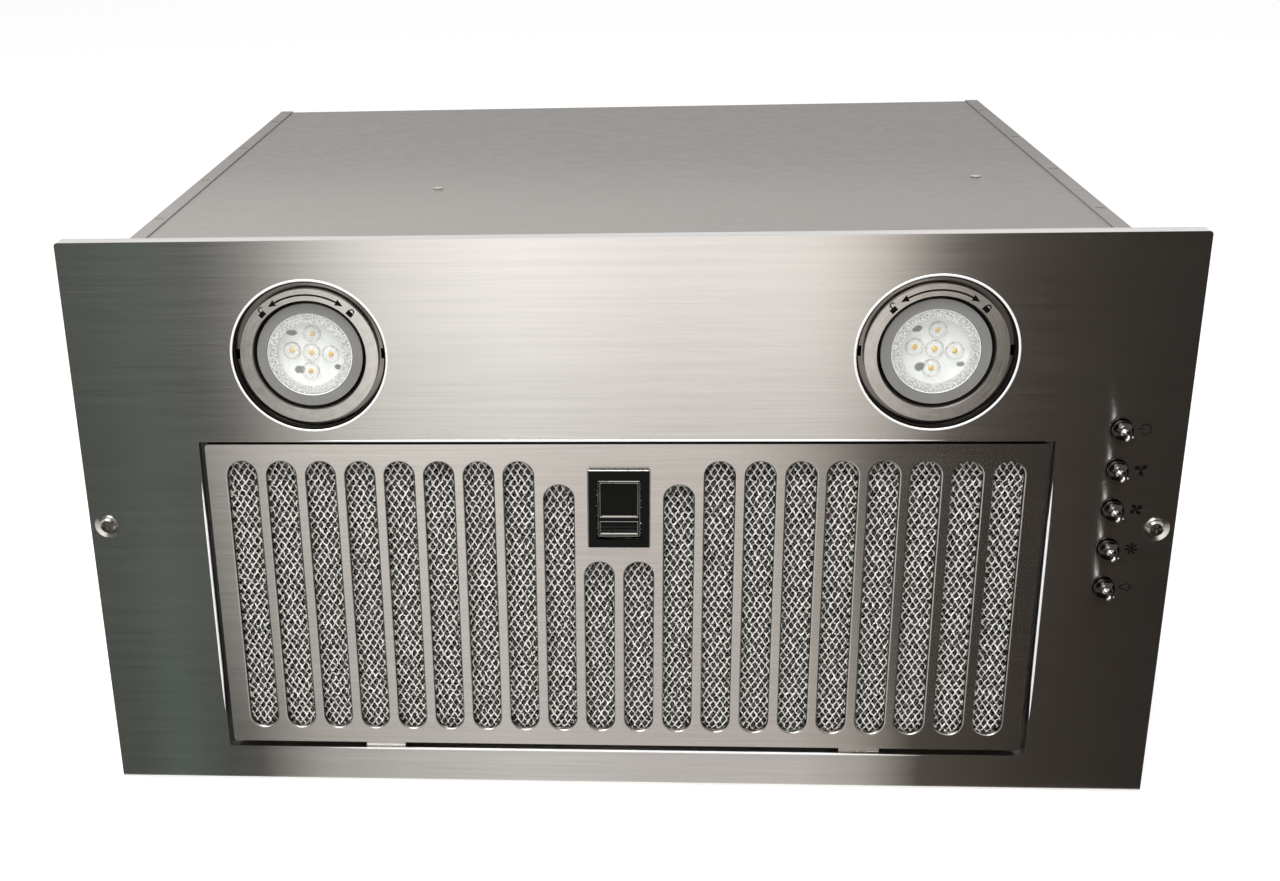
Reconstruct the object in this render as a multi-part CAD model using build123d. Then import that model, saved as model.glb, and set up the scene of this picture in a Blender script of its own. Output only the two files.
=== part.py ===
from build123d import *
import os
from math import asin, cos, degrees, radians, sin, sqrt

# Range hood insert, built as it would come apart on a bench.
# All lengths are in millimetres. The insert stands on the lower long edge of its
# face panel: X runs to the right along the panel, Y runs from the panel back into
# the body, Z is up. The model is built with Y = 0 on the front of the panel and
# moved at the end, so that the origin is the bottom centre of the whole insert.

# ---------------------------------------------------------------- face panel
panel_width = 520.0
panel_height = 286.0
panel_sheet = 1.0
return_depth = 8.0             # turned edge of the panel, front face to rear rim
rim_lip = 4.0                  # inward lip on the turned edge
panel_corner_radius = 1.6
opening_inset = 58.5           # from the panel's short edges to the filter opening
opening_bottom = 19.8
opening_lip_depth = 5.0        # turned-in lip round the filter opening
dimple_radius = 6.5
dimple_depth = 0.8

# ---------------------------------------------------------------- body
body_side_inset = 20.0         # from the panel's short edges to the body's short walls
body_edge_inset = 11.0         # from the panel's long edges to the body's long walls
body_depth = 425.0
body_sheet = 0.8
front_flange_top = 6.0         # welding flange of the long walls behind the panel
front_flange_side = 7.0        # welding flange of the short walls behind the panel
seam_width = 8.0               # strip where a short wall laps a long wall
rear_flange = 12.0
weld_count = 4
first_weld = 92.0              # from the panel's face
last_weld = 42.0               # from the body's rear
weld_radius = 2.4
weld_depth = 0.25

# ---------------------------------------------------------------- filter
filter_side_gap = 2.7
filter_top_gap = 1.3
filter_bottom_gap = 3.2
filter_sheet = 1.0
filter_edge_depth = 12.0
slot_count = 20
slot_width = 14.0
slot_side_strip = 9.875        # plain face outside the first and the last slot
slot_bottom_strip = 8.5
slot_top_strip = 9.0
slot_drop_beside_latch = 11.9  # how much lower the slots beside the latch end
slot_gap_under_latch = 8.3
slot_lip = 0.9
slot_lip_depth = 2.6
slot_edge_radius = 0.8
pad_gap = 0.2
pad_thickness = 7.0
back_sheet = 1.0
back_columns = 8
back_bar = 10.0
tab_width = 20.0
tab_sheet = 1.0
tab_drop = 3.4                 # how far a tab reaches past the opening's edge
tab_bead_radius = 0.7          # rib pressed across a tab, on which the filter tilts
tab_offset = 120.0

# ---------------------------------------------------------------- frame behind the opening
frame_gap = 2.0                # from the opening's edge to the frame's wall, at the top and sides
frame_gap_bottom = 4.8         # the same at the bottom, with room for the tabs
frame_depth = 15.0
frame_sheet = 1.0
frame_flange = 2.0
ledge_width = 7.0              # how far the ledge reaches into the opening

# ---------------------------------------------------------------- latch
bezel_width = 30.0
bezel_height = 40.7
bezel_top_strip = 12.3         # plain face between the bezel and the filter's top edge
bezel_proud = 2.0
bezel_face = 1.2
bezel_shoulder = 0.7           # how far the bezel laps its cut-out
bezel_wall = 0.9
bezel_radius = 1.2
bezel_edge_radius = 0.5
window_width = 21.4
window_height = 30.6
window_sill = 4.6              # from the bezel's bottom to its window
window_radius = 0.6
housing_depth = 6.0
housing_back = 0.9
slide_travel = 3.5
slide_gap = 0.35
slide_base = 1.8
tongue_width = 12.0
thumb_width = 20.6
thumb_height = 29.2
thumb_radius = 0.8
thumb_edge_radius = 0.4
dish_width = 18.0
dish_height = 17.6
dish_depth = 1.2
dish_radius = 1.0
grip_height = 6.6
grip_radius = 0.6
grip_rib_radius = 0.45
grip_ribs = 3
spring_radius = 1.1
spring_wire = 0.4
spring_turns = 8
spring_length = 12.0
spring_anvil = 2.2

# ---------------------------------------------------------------- lights
light_inset = 115.3            # from the panel's short edge to a light's centre
light_drop = 55.5              # from the panel's upper edge to a light's centre
light_strip = 6.4              # plain face between a light's hole and the filter opening
light_hole_radius = 36.3
light_collar_depth = 5.0
can_flange_radius = 38.4
can_sheet = 1.0
can_bore_radius = 30.3
can_depth = 68.0
ring_outer_radius = 32.6
ring_inner_radius = 27.0
ring_front = 0.6
ring_plate = 2.2
spigot_radius = 30.0
spigot_wall = 1.4
spigot_depth = 12.0
cone_end_radius = 25.7
cone_depth = 5.0
cone_sheet = 1.0
lug_width = 6.0
lug_length = 2.0
lug_start = 8.2
lug_reach = 0.9
ring_turn = 30.0               # degrees from locked to open
track_margin = 1.5             # degrees of room past each end of a lug's track
mark_width = 2.0               # slots in the can's flange, seen in the groove round the ring
mark_height = 5.0
lamp_radius = 25.0
lamp_front = 2.6
lamp_length = 48.0
lamp_rim_depth = 6.0
lamp_neck_radius = 14.0
lamp_base_radius = 12.4
lamp_base_length = 9.0
lamp_recess_radius = 20.4
lamp_recess_depth = 5.2
pin_radius = 2.4
pin_pitch = 10.0
pin_length = 6.5
lens_thickness = 1.2
lens_fit = 0.2
led_count = 4
led_circle = 9.2
led_radius = 4.4
led_sink = 2.0                 # from the board to the centre of each dome
led_board = 1.0
holder_radius = 15.0
holder_gap = 0.3
holder_hole_radius = 10.5

# ---------------------------------------------------------------- controls
button_drop = 92.2             # from the panel's upper edge to the first button
button_pitch = 20.05
button_names = ("power", "low", "medium", "high", "light")
button_travel = 3.5
button_proud = 14.0
button_base_radius = 4.7
button_hole_radius = 5.2
button_neck_radius = 1.1
button_tip_radius = 1.9
button_crown = 0.6             # height of the rounded tip
button_foot = 2.8              # straight foot before the hollow slope starts
button_waist = 1.0             # extra radius half way along the slope
button_neck_at = 8.0           # from the panel to the narrowest place
button_waist_at = 5.0
button_flange_radius = 6.2
button_flange = 1.6
button_stem_radius = 2.0
socket_floor = 1.0             # wall behind each stem's socket
socket_gap = 0.5               # left in the socket when a button is fully in
switch_width = 16.0
switch_wall_gap = 0.8          # from the switch block's bracket to the body's wall
switch_gap = 2.55              # from a pressed button's flange to the switch block
switch_depth = 18.0
switch_margin = 12.0
bracket_sheet = 1.2
bracket_foot = 9.0
peg_length = 3.0               # past the bracket

# ---------------------------------------------------------------- panel screws
screw_inset = 8.7              # from the panel's short edge
screw_rise = 1.0               # above the panel's middle
screw_radius = 2.0
screw_length = 22.0            # from the head to the point
screw_neck_radius = 2.2        # plain part of the shank, up to the cabinet
screw_head_radius = 4.0
screw_head_fit = 0.1
screw_head_height = 2.2
screw_head_rim = 1.1           # straight-sided part of the head
screw_crown_radius = 2.9
screw_hole_radius = 2.4
cross_width = 1.1
cross_length = 4.6
cross_depth = 1.2

# ---------------------------------------------------------------- blower
scroll_to_rear = 155.0         # from the fan's axis to the body's rear
scroll_gap = 4.7               # from the scroll to the bottom wall
scroll_inner_width = 96.0
scroll_sheet = 1.1
scroll_throat_radius = 88.0
scroll_growth = 0.12           # millimetres of radius per degree
tongue_angle = 30.0
scroll_step = 15.0
inlet_radius = 62.0
inlet_flare = 6.0
inlet_lip = 4.0
inlet_sheet = 1.5
wheel_radius = 80.0
wheel_width = 84.0
wheel_eye_radius = 67.0
blade_count = 36
blade_sheet = 0.9
blade_turn = 6.0               # degrees that a blade leans forward
wheel_ring = 2.0
wheel_plate = 1.6
hub_radius = 10.0
hub_left = -3.0
hub_right = 14.0
shaft_radius = 4.0
shaft_fit = 0.05
shaft_left = -74.0
shaft_right = 16.0
motor_radius = 42.0
motor_wall = 1.5
motor_left = -78.0
motor_right = -9.0
bearing_radius = 11.0
bearing_width = 6.5
bearing_seat_wall = 2.0
stator_radius = 40.3
stator_bore = 22.6
rotor_radius = 22.0
stator_left = -62.0
stator_right = -26.0
seat_fit = 0.05
clamp_wall = 3.5
clamp_left = -66.0
clamp_right = -54.0
arm_count = 3
arm_width = 12.0
arm_reach = 84.0
arm_pad = 1.5
arm_screw_radius = 2.0
arm_screw_head = 3.6
arm_screw_height = 2.4
hanger_sheet = 1.5
hanger_left = -112.0
hanger_reach = 120.0           # from the fan's axis forward to the hanger's front edge
hanger_length = 95.0
hanger_leg_length = 40.0
hanger_lap = 18.9              # how far the hanger's leg laps the side of the scroll
foot_width = 22.0
foot_length = 50.0
foot_rise = 26.0

# ---------------------------------------------------------------- outlet
collar_radius = 75.0
collar_wall = 1.0
collar_length = 52.0
collar_plate = 164.0
collar_top_gap = 3.0           # from the body's top down to the collar's plate
collar_plate_radius = 4.0
collar_sheet = 1.0
collar_seat_radius = 70.0
bead_at = 41.0                 # from the mouth back to the stop bead
bead_radius = 1.2
plate_screw_inset = 9.0
small_screw_radius = 1.75
small_screw_fit = 0.1
small_head_radius = 3.4
small_head_height = 2.0
small_screw_tail = 6.0
flap_radius = 72.6
flap_sheet = 0.8
flap_gap = 0.3
flap_rod_radius = 1.5
flap_fit = 0.05
knuckle_radius = 2.5
knuckle_sink = 0.5             # how far a knuckle dips past the collar's plate
rod_end = 0.5                  # how far the rod stands out of the collar
knuckle_count = 4              # knuckles along the rod, shared by the two flaps
knuckle_span = 128.0
knuckle_gap = 0.4

# ---------------------------------------------------------------- wiring
box_side_gap = 25.2            # from the body's right wall to the box
box_width = 62.0
box_front = 140.0
box_length = 92.0
box_drop = 40.0
box_sheet = 1.0
terminal_length = 52.0
terminal_width = 18.0
terminal_height = 14.0
terminal_ways = 5
terminal_hole = 2.0
grommet_side = 50.0            # from the body's right side
grommet_drop = 40.0            # from the body's top
grommet_bore = 5.0
grommet_neck = 8.0
grommet_rim = 11.0
grommet_rim_depth = 2.5
capacitor_radius = 15.0
capacitor_length = 62.0
capacitor_side = 50.0          # from the body's left side
capacitor_y = 210.0
capacitor_stud = 9.0
capacitor_stud_radius = 4.0
clip_wall = 1.2
clip_width = 14.0
clip_tab = 10.0
rivet_on_hanger = (12.4, 10.0)  # from the hanger's left front corner
rivet_on_box = (39.2, 33.0)    # from the wiring box's left front corner
rivet_head_radius = 2.6
rivet_head_height = 0.9
rivet_radius = 1.6
rivet_fit = 0.05

# ---------------------------------------------------------------- worked-out places
half_panel = panel_width / 2
body_width = panel_width - 2 * body_side_inset
body_height = panel_height - 2 * body_edge_inset
half_body = body_width / 2
body_bottom = (panel_height - body_height) / 2
body_top = body_bottom + body_height
weld_pitch = (body_depth - first_weld - last_weld) / (weld_count - 1)
light_offset = half_panel - light_inset
light_height = panel_height - light_drop
opening_width = panel_width - 2 * opening_inset
opening_top = light_height - light_hole_radius - light_strip
half_opening = opening_width / 2
filter_width = opening_width - 2 * filter_side_gap
filter_bottom = opening_bottom + filter_bottom_gap
filter_top = opening_top - filter_top_gap
half_filter = filter_width / 2
bezel_bottom = filter_top - bezel_top_strip - bezel_height
window_bottom = bezel_bottom + window_sill
slot_pitch = (filter_width - 2 * slot_side_strip - slot_width) / (slot_count - 1)
slot_bottom = filter_bottom + slot_bottom_strip
slot_top = filter_top - slot_top_strip
slot_top_beside_latch = slot_top - slot_drop_beside_latch
slot_top_under_latch = bezel_bottom - slot_gap_under_latch
button_x = half_body - body_sheet - switch_wall_gap - switch_width / 2
button_top_z = panel_height - button_drop
screw_x = half_panel - screw_inset
screw_z = panel_height / 2 + screw_rise
half_scroll = scroll_inner_width / 2
side_face = half_scroll + scroll_sheet
scroll_low_radius = scroll_throat_radius + scroll_growth * (tongue_angle + 90)
scroll_y = body_depth - scroll_to_rear
scroll_z = body_bottom + body_sheet + scroll_gap + scroll_sheet + scroll_low_radius
hanger_front = scroll_y - hanger_reach
hanger_rear = hanger_front + hanger_length
hanger_leg_front = hanger_rear - hanger_leg_length
foot_front = scroll_y - foot_length / 2
foot_rear = scroll_y + foot_length / 2
collar_z = body_top - collar_top_gap - collar_plate / 2
box_right = half_body - body_sheet - box_side_gap
box_left = box_right - box_width
box_rear = box_front + box_length
grommet_x = half_body - grommet_side
grommet_z = body_top - grommet_drop
capacitor_x = capacitor_side - half_body
roof_rivets = ((hanger_left + rivet_on_hanger[0], hanger_front + rivet_on_hanger[1]),
               (box_left + rivet_on_box[0], box_front + rivet_on_box[1]))
origin_y = (body_depth + collar_length - button_proud) / 2
flange_rear = panel_sheet + slide_gap + button_flange
switch_front = flange_rear + button_travel + switch_gap
switch_rear = switch_front + switch_depth
socket_rear = switch_rear - socket_floor
tab_front = panel_sheet + slide_gap
tab_y = tab_front + tab_sheet / 2
tab_pivot_z = opening_bottom + slide_gap + tab_sheet / 2
past = 1.0                     # how far a cut runs past the surface


def block(x_range, y_range, z_range):
    """A box from its two corners, given as one range for each axis."""
    size = [high - low for low, high in (x_range, y_range, z_range)]
    centre = [(high + low) / 2 for low, high in (x_range, y_range, z_range)]
    return Pos(*centre) * Box(*size)


def rod_x(radius, x_range, y, z):
    """A round bar along X."""
    length = x_range[1] - x_range[0]
    return Pos(sum(x_range) / 2, y, z) * Rot(0, 90, 0) * Cylinder(radius, length)


def rod_y(radius, y_range, x, z):
    """A round bar along Y."""
    length = y_range[1] - y_range[0]
    return Pos(x, sum(y_range) / 2, z) * Rot(90, 0, 0) * Cylinder(radius, length)


def rod_z(radius, z_range, x, y):
    """A round bar along Z."""
    length = z_range[1] - z_range[0]
    return Pos(x, y, sum(z_range) / 2) * Cylinder(radius, length)


def tube_x(outer, inner, x_range, y, z):
    """A tube along X."""
    return rod_x(outer, x_range, y, z) - rod_x(inner, x_range, y, z)


def tube_y(outer, inner, y_range, x, z):
    """A tube along Y."""
    return rod_y(outer, y_range, x, z) - rod_y(inner, y_range, x, z)


def turned_y(points, x, z):
    """A turned piece: (radius, y) points revolved about an axis along Y."""
    outline = make_face(Polyline(*points, close=True))
    return Pos(x, 0, z) * revolve(outline, Axis.Y)


def turned_x(points, y, z):
    """A turned piece: (x, radius) points revolved about an axis along X."""
    outline = make_face(Polyline(*points, close=True))
    return Pos(0, y, z) * revolve(outline, Axis.X)


def facing(sketch, y, x=0.0, z=0.0):
    """Stand a flat sketch up so that its own Y is Z and it looks along Y."""
    return Pos(x, y, z) * Rot(90, 0, 0) * sketch


def plate_y(sketch, y_range):
    """A sheet of the sketch's outline, from one Y to another."""
    return extrude(facing(sketch, y_range[1]), amount=y_range[1] - y_range[0], dir=(0, -1, 0))


def rectangle(x_range, z_range, radius=0.0):
    """A flat rectangle from its two ranges, with rounded corners if asked."""
    width = x_range[1] - x_range[0]
    height = z_range[1] - z_range[0]
    shape = RectangleRounded(width, height, radius) if radius else Rectangle(width, height)
    return Pos(sum(x_range) / 2, sum(z_range) / 2) * shape


def as_node(solids):
    """Several separate solids as one node."""
    return Compound([solid for shape in solids for solid in shape.solids()])


def save(name, shape):
    """Move a node from the building place to the insert's own origin and write it."""
    os.makedirs("parts", exist_ok=True)
    export_step(Pos(0, -origin_y, 0) * shape, f"parts/{name}.step")


# ---------------------------------------------------------------- face panel

def light_places():
    """The two lights: name and X."""
    return (("left", -light_offset), ("right", light_offset))


def button_places():
    """The five push buttons: name and Z, from the top down."""
    return [(name, button_top_z - index * button_pitch) for index, name in enumerate(button_names)]


def tab_slots():
    """Notches in the lower lip of the opening that the filter's two tabs hook into."""
    room = slide_gap * 2
    y_range = (panel_sheet, opening_lip_depth + past)
    z_range = (opening_bottom - panel_sheet - past, opening_bottom + past)
    return [block((x - tab_width / 2 - room, x + tab_width / 2 + room), y_range, z_range)
            for x in (-tab_offset, tab_offset)]


def tongue_y():
    """Front and rear of the latch tongue."""
    rear = housing_depth - housing_back - slide_gap
    return (rear - slide_base, rear)


def tongue_catch(top):
    """Slot that the latch tongue springs into, from the opening's edge up to the given height."""
    tongue_front, tongue_rear = tongue_y()
    half = tongue_width / 2 + slide_gap
    return block((-half, half), (tongue_front - slide_gap, tongue_rear + slide_gap),
                 (opening_top - past, top + past))


def rim_lengths(rim):
    """The turned rim in six lengths that meet end to end: two below, two above and one at each side."""
    width = panel_sheet + rim_lip
    depth = (panel_sheet, return_depth)
    lengths = [block(x_range, depth, z_range)
               for z_range in ((0, width), (panel_height - width, panel_height))
               for x_range in ((-half_panel, 0), (0, half_panel))]
    lengths += [block(x_range, depth, (width, panel_height - width))
                for x_range in ((-half_panel, width - half_panel), (half_panel - width, half_panel))]
    return [rim & length for length in lengths]


def face_panel():
    """Brushed sheet with the filter opening, two light holes and five button holes, and its turned rim."""
    outline = rectangle((-half_panel, half_panel), (0, panel_height), panel_corner_radius)
    inner = rectangle((panel_sheet - half_panel, half_panel - panel_sheet),
                      (panel_sheet, panel_height - panel_sheet))
    mouth = rectangle((panel_sheet + rim_lip - half_panel, half_panel - panel_sheet - rim_lip),
                      (panel_sheet + rim_lip, panel_height - panel_sheet - rim_lip))
    panel = plate_y(outline, (0, panel_sheet))
    rim = plate_y(outline, (panel_sheet, return_depth))
    rim -= plate_y(inner, (panel_sheet, return_depth - panel_sheet))
    rim -= plate_y(mouth, (return_depth - panel_sheet, return_depth))
    lip_outer = rectangle((-half_opening - panel_sheet, half_opening + panel_sheet),
                          (opening_bottom - panel_sheet, opening_top + panel_sheet))
    opening = rectangle((-half_opening, half_opening), (opening_bottom, opening_top))
    panel += plate_y(lip_outer, (0, opening_lip_depth))
    panel -= plate_y(opening, (0, opening_lip_depth))
    for _, x in light_places():
        panel += rod_y(light_hole_radius + panel_sheet, (0, light_collar_depth), x, light_height)
        panel -= rod_y(light_hole_radius, (0, light_collar_depth), x, light_height)
    for _, z in button_places():
        panel -= rod_y(button_hole_radius, (0, panel_sheet), button_x, z)
    for x in (-screw_x, screw_x):
        cup = ((0, 0), (dimple_radius, 0), (screw_head_radius, dimple_depth), (0, dimple_depth))
        shell = [(radius + panel_sheet if radius else 0, y + panel_sheet) for radius, y in cup]
        panel += turned_y(shell, x, screw_z)
        panel -= turned_y(cup, x, screw_z)
        hole = rod_y(screw_hole_radius, (0, return_depth), x, screw_z)
        panel -= hole
        rim -= hole
    for notch in tab_slots():
        panel -= notch
    panel -= tongue_catch(opening_top + panel_sheet)
    return as_node([panel - rim, *rim_lengths(rim)])


def filter_frame():
    """Sheet frame welded behind the opening; its rear ledge stops the filter."""
    wall = half_opening + frame_gap + frame_sheet
    low = opening_bottom - frame_gap_bottom - frame_sheet
    high = opening_top + frame_gap + frame_sheet
    frame = plate_y(rectangle((-wall, wall), (low, high)), (panel_sheet, frame_depth))
    frame += plate_y(rectangle((-wall - frame_flange, wall + frame_flange),
                               (low - frame_flange, high + frame_flange)),
                     (panel_sheet, panel_sheet + frame_sheet))
    inner = rectangle((frame_sheet - wall, wall - frame_sheet), (low + frame_sheet, high - frame_sheet))
    frame -= plate_y(inner, (panel_sheet, frame_depth - frame_sheet))
    mouth_side = half_opening - ledge_width
    mouth = rectangle((-mouth_side, mouth_side), (opening_bottom + ledge_width, opening_top - ledge_width))
    frame -= plate_y(mouth, (0, frame_depth))
    return frame - tongue_catch(high)


# ---------------------------------------------------------------- body walls

def weld_dimples(x, z):
    """Spot welds pressed into a seam strip."""
    places = [first_weld + index * weld_pitch for index in range(weld_count)]
    return [rod_z(weld_radius, z, x, y) for y in places]


def long_wall(z_outer, direction):
    """Top or bottom wall, with a welding flange behind the panel."""
    z_inner = z_outer - direction * body_sheet
    z_edge = z_outer + direction * front_flange_top
    side = half_body - body_sheet
    front = panel_sheet
    wall = block((-side, side), (front, body_depth), sorted((z_inner, z_outer)))
    return wall + block((-side, side), (front, front + body_sheet), sorted((z_inner, z_edge)))


def top_wall():
    """Top wall with the two rivet holes that show on it."""
    wall = long_wall(body_top, 1)
    for x, y in roof_rivets:
        wall -= rod_z(rivet_radius + rivet_fit, (body_top - body_sheet, body_top), x, y)
    return wall


def bottom_wall():
    """Bottom wall."""
    return long_wall(body_bottom, -1)


def short_wall(side):
    """Left (-1) or right (+1) wall, whose strips lap the top and bottom walls."""
    low = body_bottom - body_sheet
    high = body_top + body_sheet
    outer = side * half_body
    inner = side * (half_body - body_sheet)
    strip = side * (half_body - seam_width)
    flange = side * (half_body + front_flange_side)
    front = panel_sheet
    wall = block(sorted((inner, outer)), (front, body_depth), (low, high))
    wall += block(sorted((inner, flange)), (front, front + body_sheet), (low, high))
    clear = dimple_radius + panel_sheet + slide_gap
    wall -= rod_y(clear, (front, front + body_sheet), side * screw_x, screw_z)
    strip_front = front + body_sheet
    wall += block(sorted((strip, outer)), (strip_front, body_depth), (body_top, high))
    wall += block(sorted((strip, outer)), (strip_front, body_depth), (low, body_bottom))
    weld_x = side * (half_body - seam_width / 2)
    for dimple in weld_dimples(weld_x, (high - weld_depth, high)):
        wall -= dimple
    for dimple in weld_dimples(weld_x, (low, low + weld_depth)):
        wall -= dimple
    return wall


def back_wall():
    """Shallow pan that closes the rear: a sheet in four fields round the outlet, and four edges."""
    side = half_body - body_sheet
    low = body_bottom + body_sheet
    high = body_top - body_sheet
    front = body_depth - rear_flange
    seat = body_depth - body_sheet
    outlet_low, outlet_high = outlet_z()
    fields = [block(x_range, (seat, body_depth), (low, high))
              for x_range in ((-side, -half_scroll), (half_scroll, side))]
    fields += [block((-half_scroll, half_scroll), (seat, body_depth), z_range)
               for z_range in ((low, outlet_low), (outlet_high, high))]
    holes = [rod_y(grommet_neck + rivet_fit, (seat, body_depth), grommet_x, grommet_z)]
    holes += [rod_y(small_screw_radius + small_screw_fit, (seat, body_depth), x, z)
              for x, z in plate_screw_places()]
    for hole in holes:
        fields = [field - hole for field in fields]
    edges = [block((-side, side), (front, seat), z_range)
             for z_range in ((low, low + body_sheet), (high - body_sheet, high))]
    edges += [block(x_range, (front, seat), (low + body_sheet, high - body_sheet))
              for x_range in ((-side, body_sheet - side), (side - body_sheet, side))]
    return as_node([*fields, *edges])


def roof_rivets_node():
    """Two blind rivets through the top wall, which carry the hanger and the wiring box."""
    grip_bottom = body_top - body_sheet - hanger_sheet - rivet_head_height
    rivets = []
    for x, y in roof_rivets:
        rivet = rod_z(rivet_radius, (grip_bottom, body_top), x, y)
        rivet += rod_z(rivet_head_radius, (body_top, body_top + rivet_head_height), x, y)
        rivets.append(rivet)
    return as_node(rivets)


# ---------------------------------------------------------------- filter

def slot_places():
    """Centre, bottom and top of each slot of the filter's face."""
    slots = []
    for index in range(slot_count):
        x = (index - (slot_count - 1) / 2) * slot_pitch
        top = slot_top
        if abs(x) < bezel_width / 2 + slot_width / 2:
            top = slot_top_under_latch
        elif abs(x) < bezel_width / 2 + slot_width / 2 + slot_pitch:
            top = slot_top_beside_latch
        slots.append((x, slot_bottom, top))
    return slots


def slot_sketch(grow):
    """All slots as flat shapes, each wider all round by the given amount."""
    width = slot_width + 2 * grow
    shapes = [Pos(x, (low + high) / 2) * Rot(0, 0, 90) * SlotOverall(high - low + 2 * grow, width)
              for x, low, high in slot_places()]
    return Sketch() + shapes


def latch_cutout(room=0.0):
    """The bezel's cut-out in the filter's face, wider all round by the given amount."""
    half = bezel_width / 2 - bezel_shoulder + room
    low = bezel_bottom + bezel_shoulder - room
    high = bezel_bottom + bezel_height - bezel_shoulder + room
    return (-half, half), (low, high)


def filter_face():
    """Slotted stainless face with turned edges, slot lips and two hooking tabs."""
    side = half_filter
    x_range = (-side, side)
    z_range = (filter_bottom, filter_top)
    face = plate_y(rectangle(x_range, z_range, panel_corner_radius), (0, filter_edge_depth))
    face -= plate_y(rectangle((filter_sheet - side, side - filter_sheet),
                              (filter_bottom + filter_sheet, filter_top - filter_sheet)),
                    (filter_sheet, filter_edge_depth))
    face += plate_y(slot_sketch(slot_lip), (0, slot_lip_depth))
    face -= plate_y(slot_sketch(0), (0, slot_lip_depth))
    mouths = [edge for edge in face.edges().filter_by_position(Axis.Y, -0.01, 0.01)
              if abs(edge.center().X) < side - slot_pitch / 4
              and filter_bottom + past < edge.center().Z < filter_top - past]
    face = fillet(mouths, slot_edge_radius)
    face -= plate_y(rectangle(*latch_cutout(slide_gap)), (0, slot_lip_depth))
    tongue_front, tongue_rear = tongue_y()
    half = tongue_width / 2 + slide_gap
    face -= block((-half, half), (tongue_front - slide_gap, tongue_rear + slide_gap),
                  (filter_top - filter_sheet - past, filter_top + past))
    for x in (-tab_offset, tab_offset):
        tab_x = (x - tab_width / 2, x + tab_width / 2)
        face += block(tab_x, (tab_front, tab_front + tab_sheet),
                      (opening_bottom - tab_drop, filter_bottom + filter_sheet))
        face += rod_x(tab_bead_radius, tab_x, tab_y, tab_pivot_z)
    return face


def filter_pad():
    """Pad of layered aluminium mesh behind the slots, notched for the latch."""
    side = half_filter - filter_sheet - pad_gap
    low = filter_bottom + filter_sheet + pad_gap
    high = filter_top - filter_sheet - pad_gap
    front = slot_lip_depth + pad_gap
    pad = plate_y(rectangle((-side, side), (low, high)), (front, front + pad_thickness))
    half = bezel_width / 2 + pad_gap
    return pad - block((-half, half), (0, filter_edge_depth), (bezel_bottom - pad_gap, high + past))


def filter_back():
    """Rear retainer: a sheet frame with tall openings, held inside the face's turned edge."""
    side = half_filter - filter_sheet - pad_gap
    low = filter_bottom + filter_sheet + pad_gap
    high = filter_top - filter_sheet - pad_gap
    front = slot_lip_depth + pad_gap * 2 + pad_thickness
    back = plate_y(rectangle((-side, side), (low, high)), (front, front + back_sheet))
    pitch = (2 * side - back_bar) / back_columns
    for index in range(back_columns):
        left = index * pitch + back_bar - side
        window = rectangle((left, left + pitch - back_bar), (low + back_bar, high - back_bar), bezel_radius)
        back -= plate_y(window, (front, front + back_sheet))
    return back


def latch_bezel():
    """Gloss black bezel and its housing, clipped into the filter's face."""
    half = bezel_width / 2
    top = bezel_bottom + bezel_height
    bezel = plate_y(rectangle((-half, half), (bezel_bottom, top), bezel_radius), (-bezel_proud, 0))
    front_edges = bezel.edges().filter_by_position(Axis.Y, -bezel_proud - 0.01, -bezel_proud + 0.01)
    bezel = fillet(front_edges, bezel_edge_radius)
    x_range, z_range = latch_cutout()
    bezel += plate_y(rectangle(x_range, z_range), (0, housing_depth))
    cavity_x, cavity_z = latch_cutout(-bezel_wall)
    bezel -= plate_y(rectangle(cavity_x, cavity_z), (bezel_face - bezel_proud, housing_depth - housing_back))
    window = rectangle((-window_width / 2, window_width / 2), (window_bottom, window_bottom + window_height),
                       window_radius)
    bezel -= plate_y(window, (-bezel_proud, 0))
    tongue_front, tongue_rear = tongue_y()
    half = tongue_width / 2 + slide_gap
    bezel -= block((-half, half), (tongue_front - slide_gap, tongue_rear + slide_gap),
                   (cavity_z[1] - past, z_range[1] + past))
    anvil_half = spring_radius + spring_wire
    anvil_front = tongue_front - spring_wire
    anvil = block((-anvil_half, anvil_half), (anvil_front, housing_depth - housing_back), spring_anvil_z())
    return bezel + anvil


def thumb_z():
    """Bottom and top of the thumb piece in the window."""
    low = latch_cutout(-bezel_wall)[1][0] + slide_travel + slide_gap
    return (low, low + thumb_height)


def spring_anvil_z():
    """Bottom and top of the post that the latch spring pushes against."""
    top = thumb_z()[1] - spring_length - 2 * spring_wire - slide_gap
    return (top - spring_anvil, top)


def spring_pocket_front():
    """Front of the pocket that holds the latch spring."""
    return tongue_y()[0] - spring_wire - slide_gap


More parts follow.
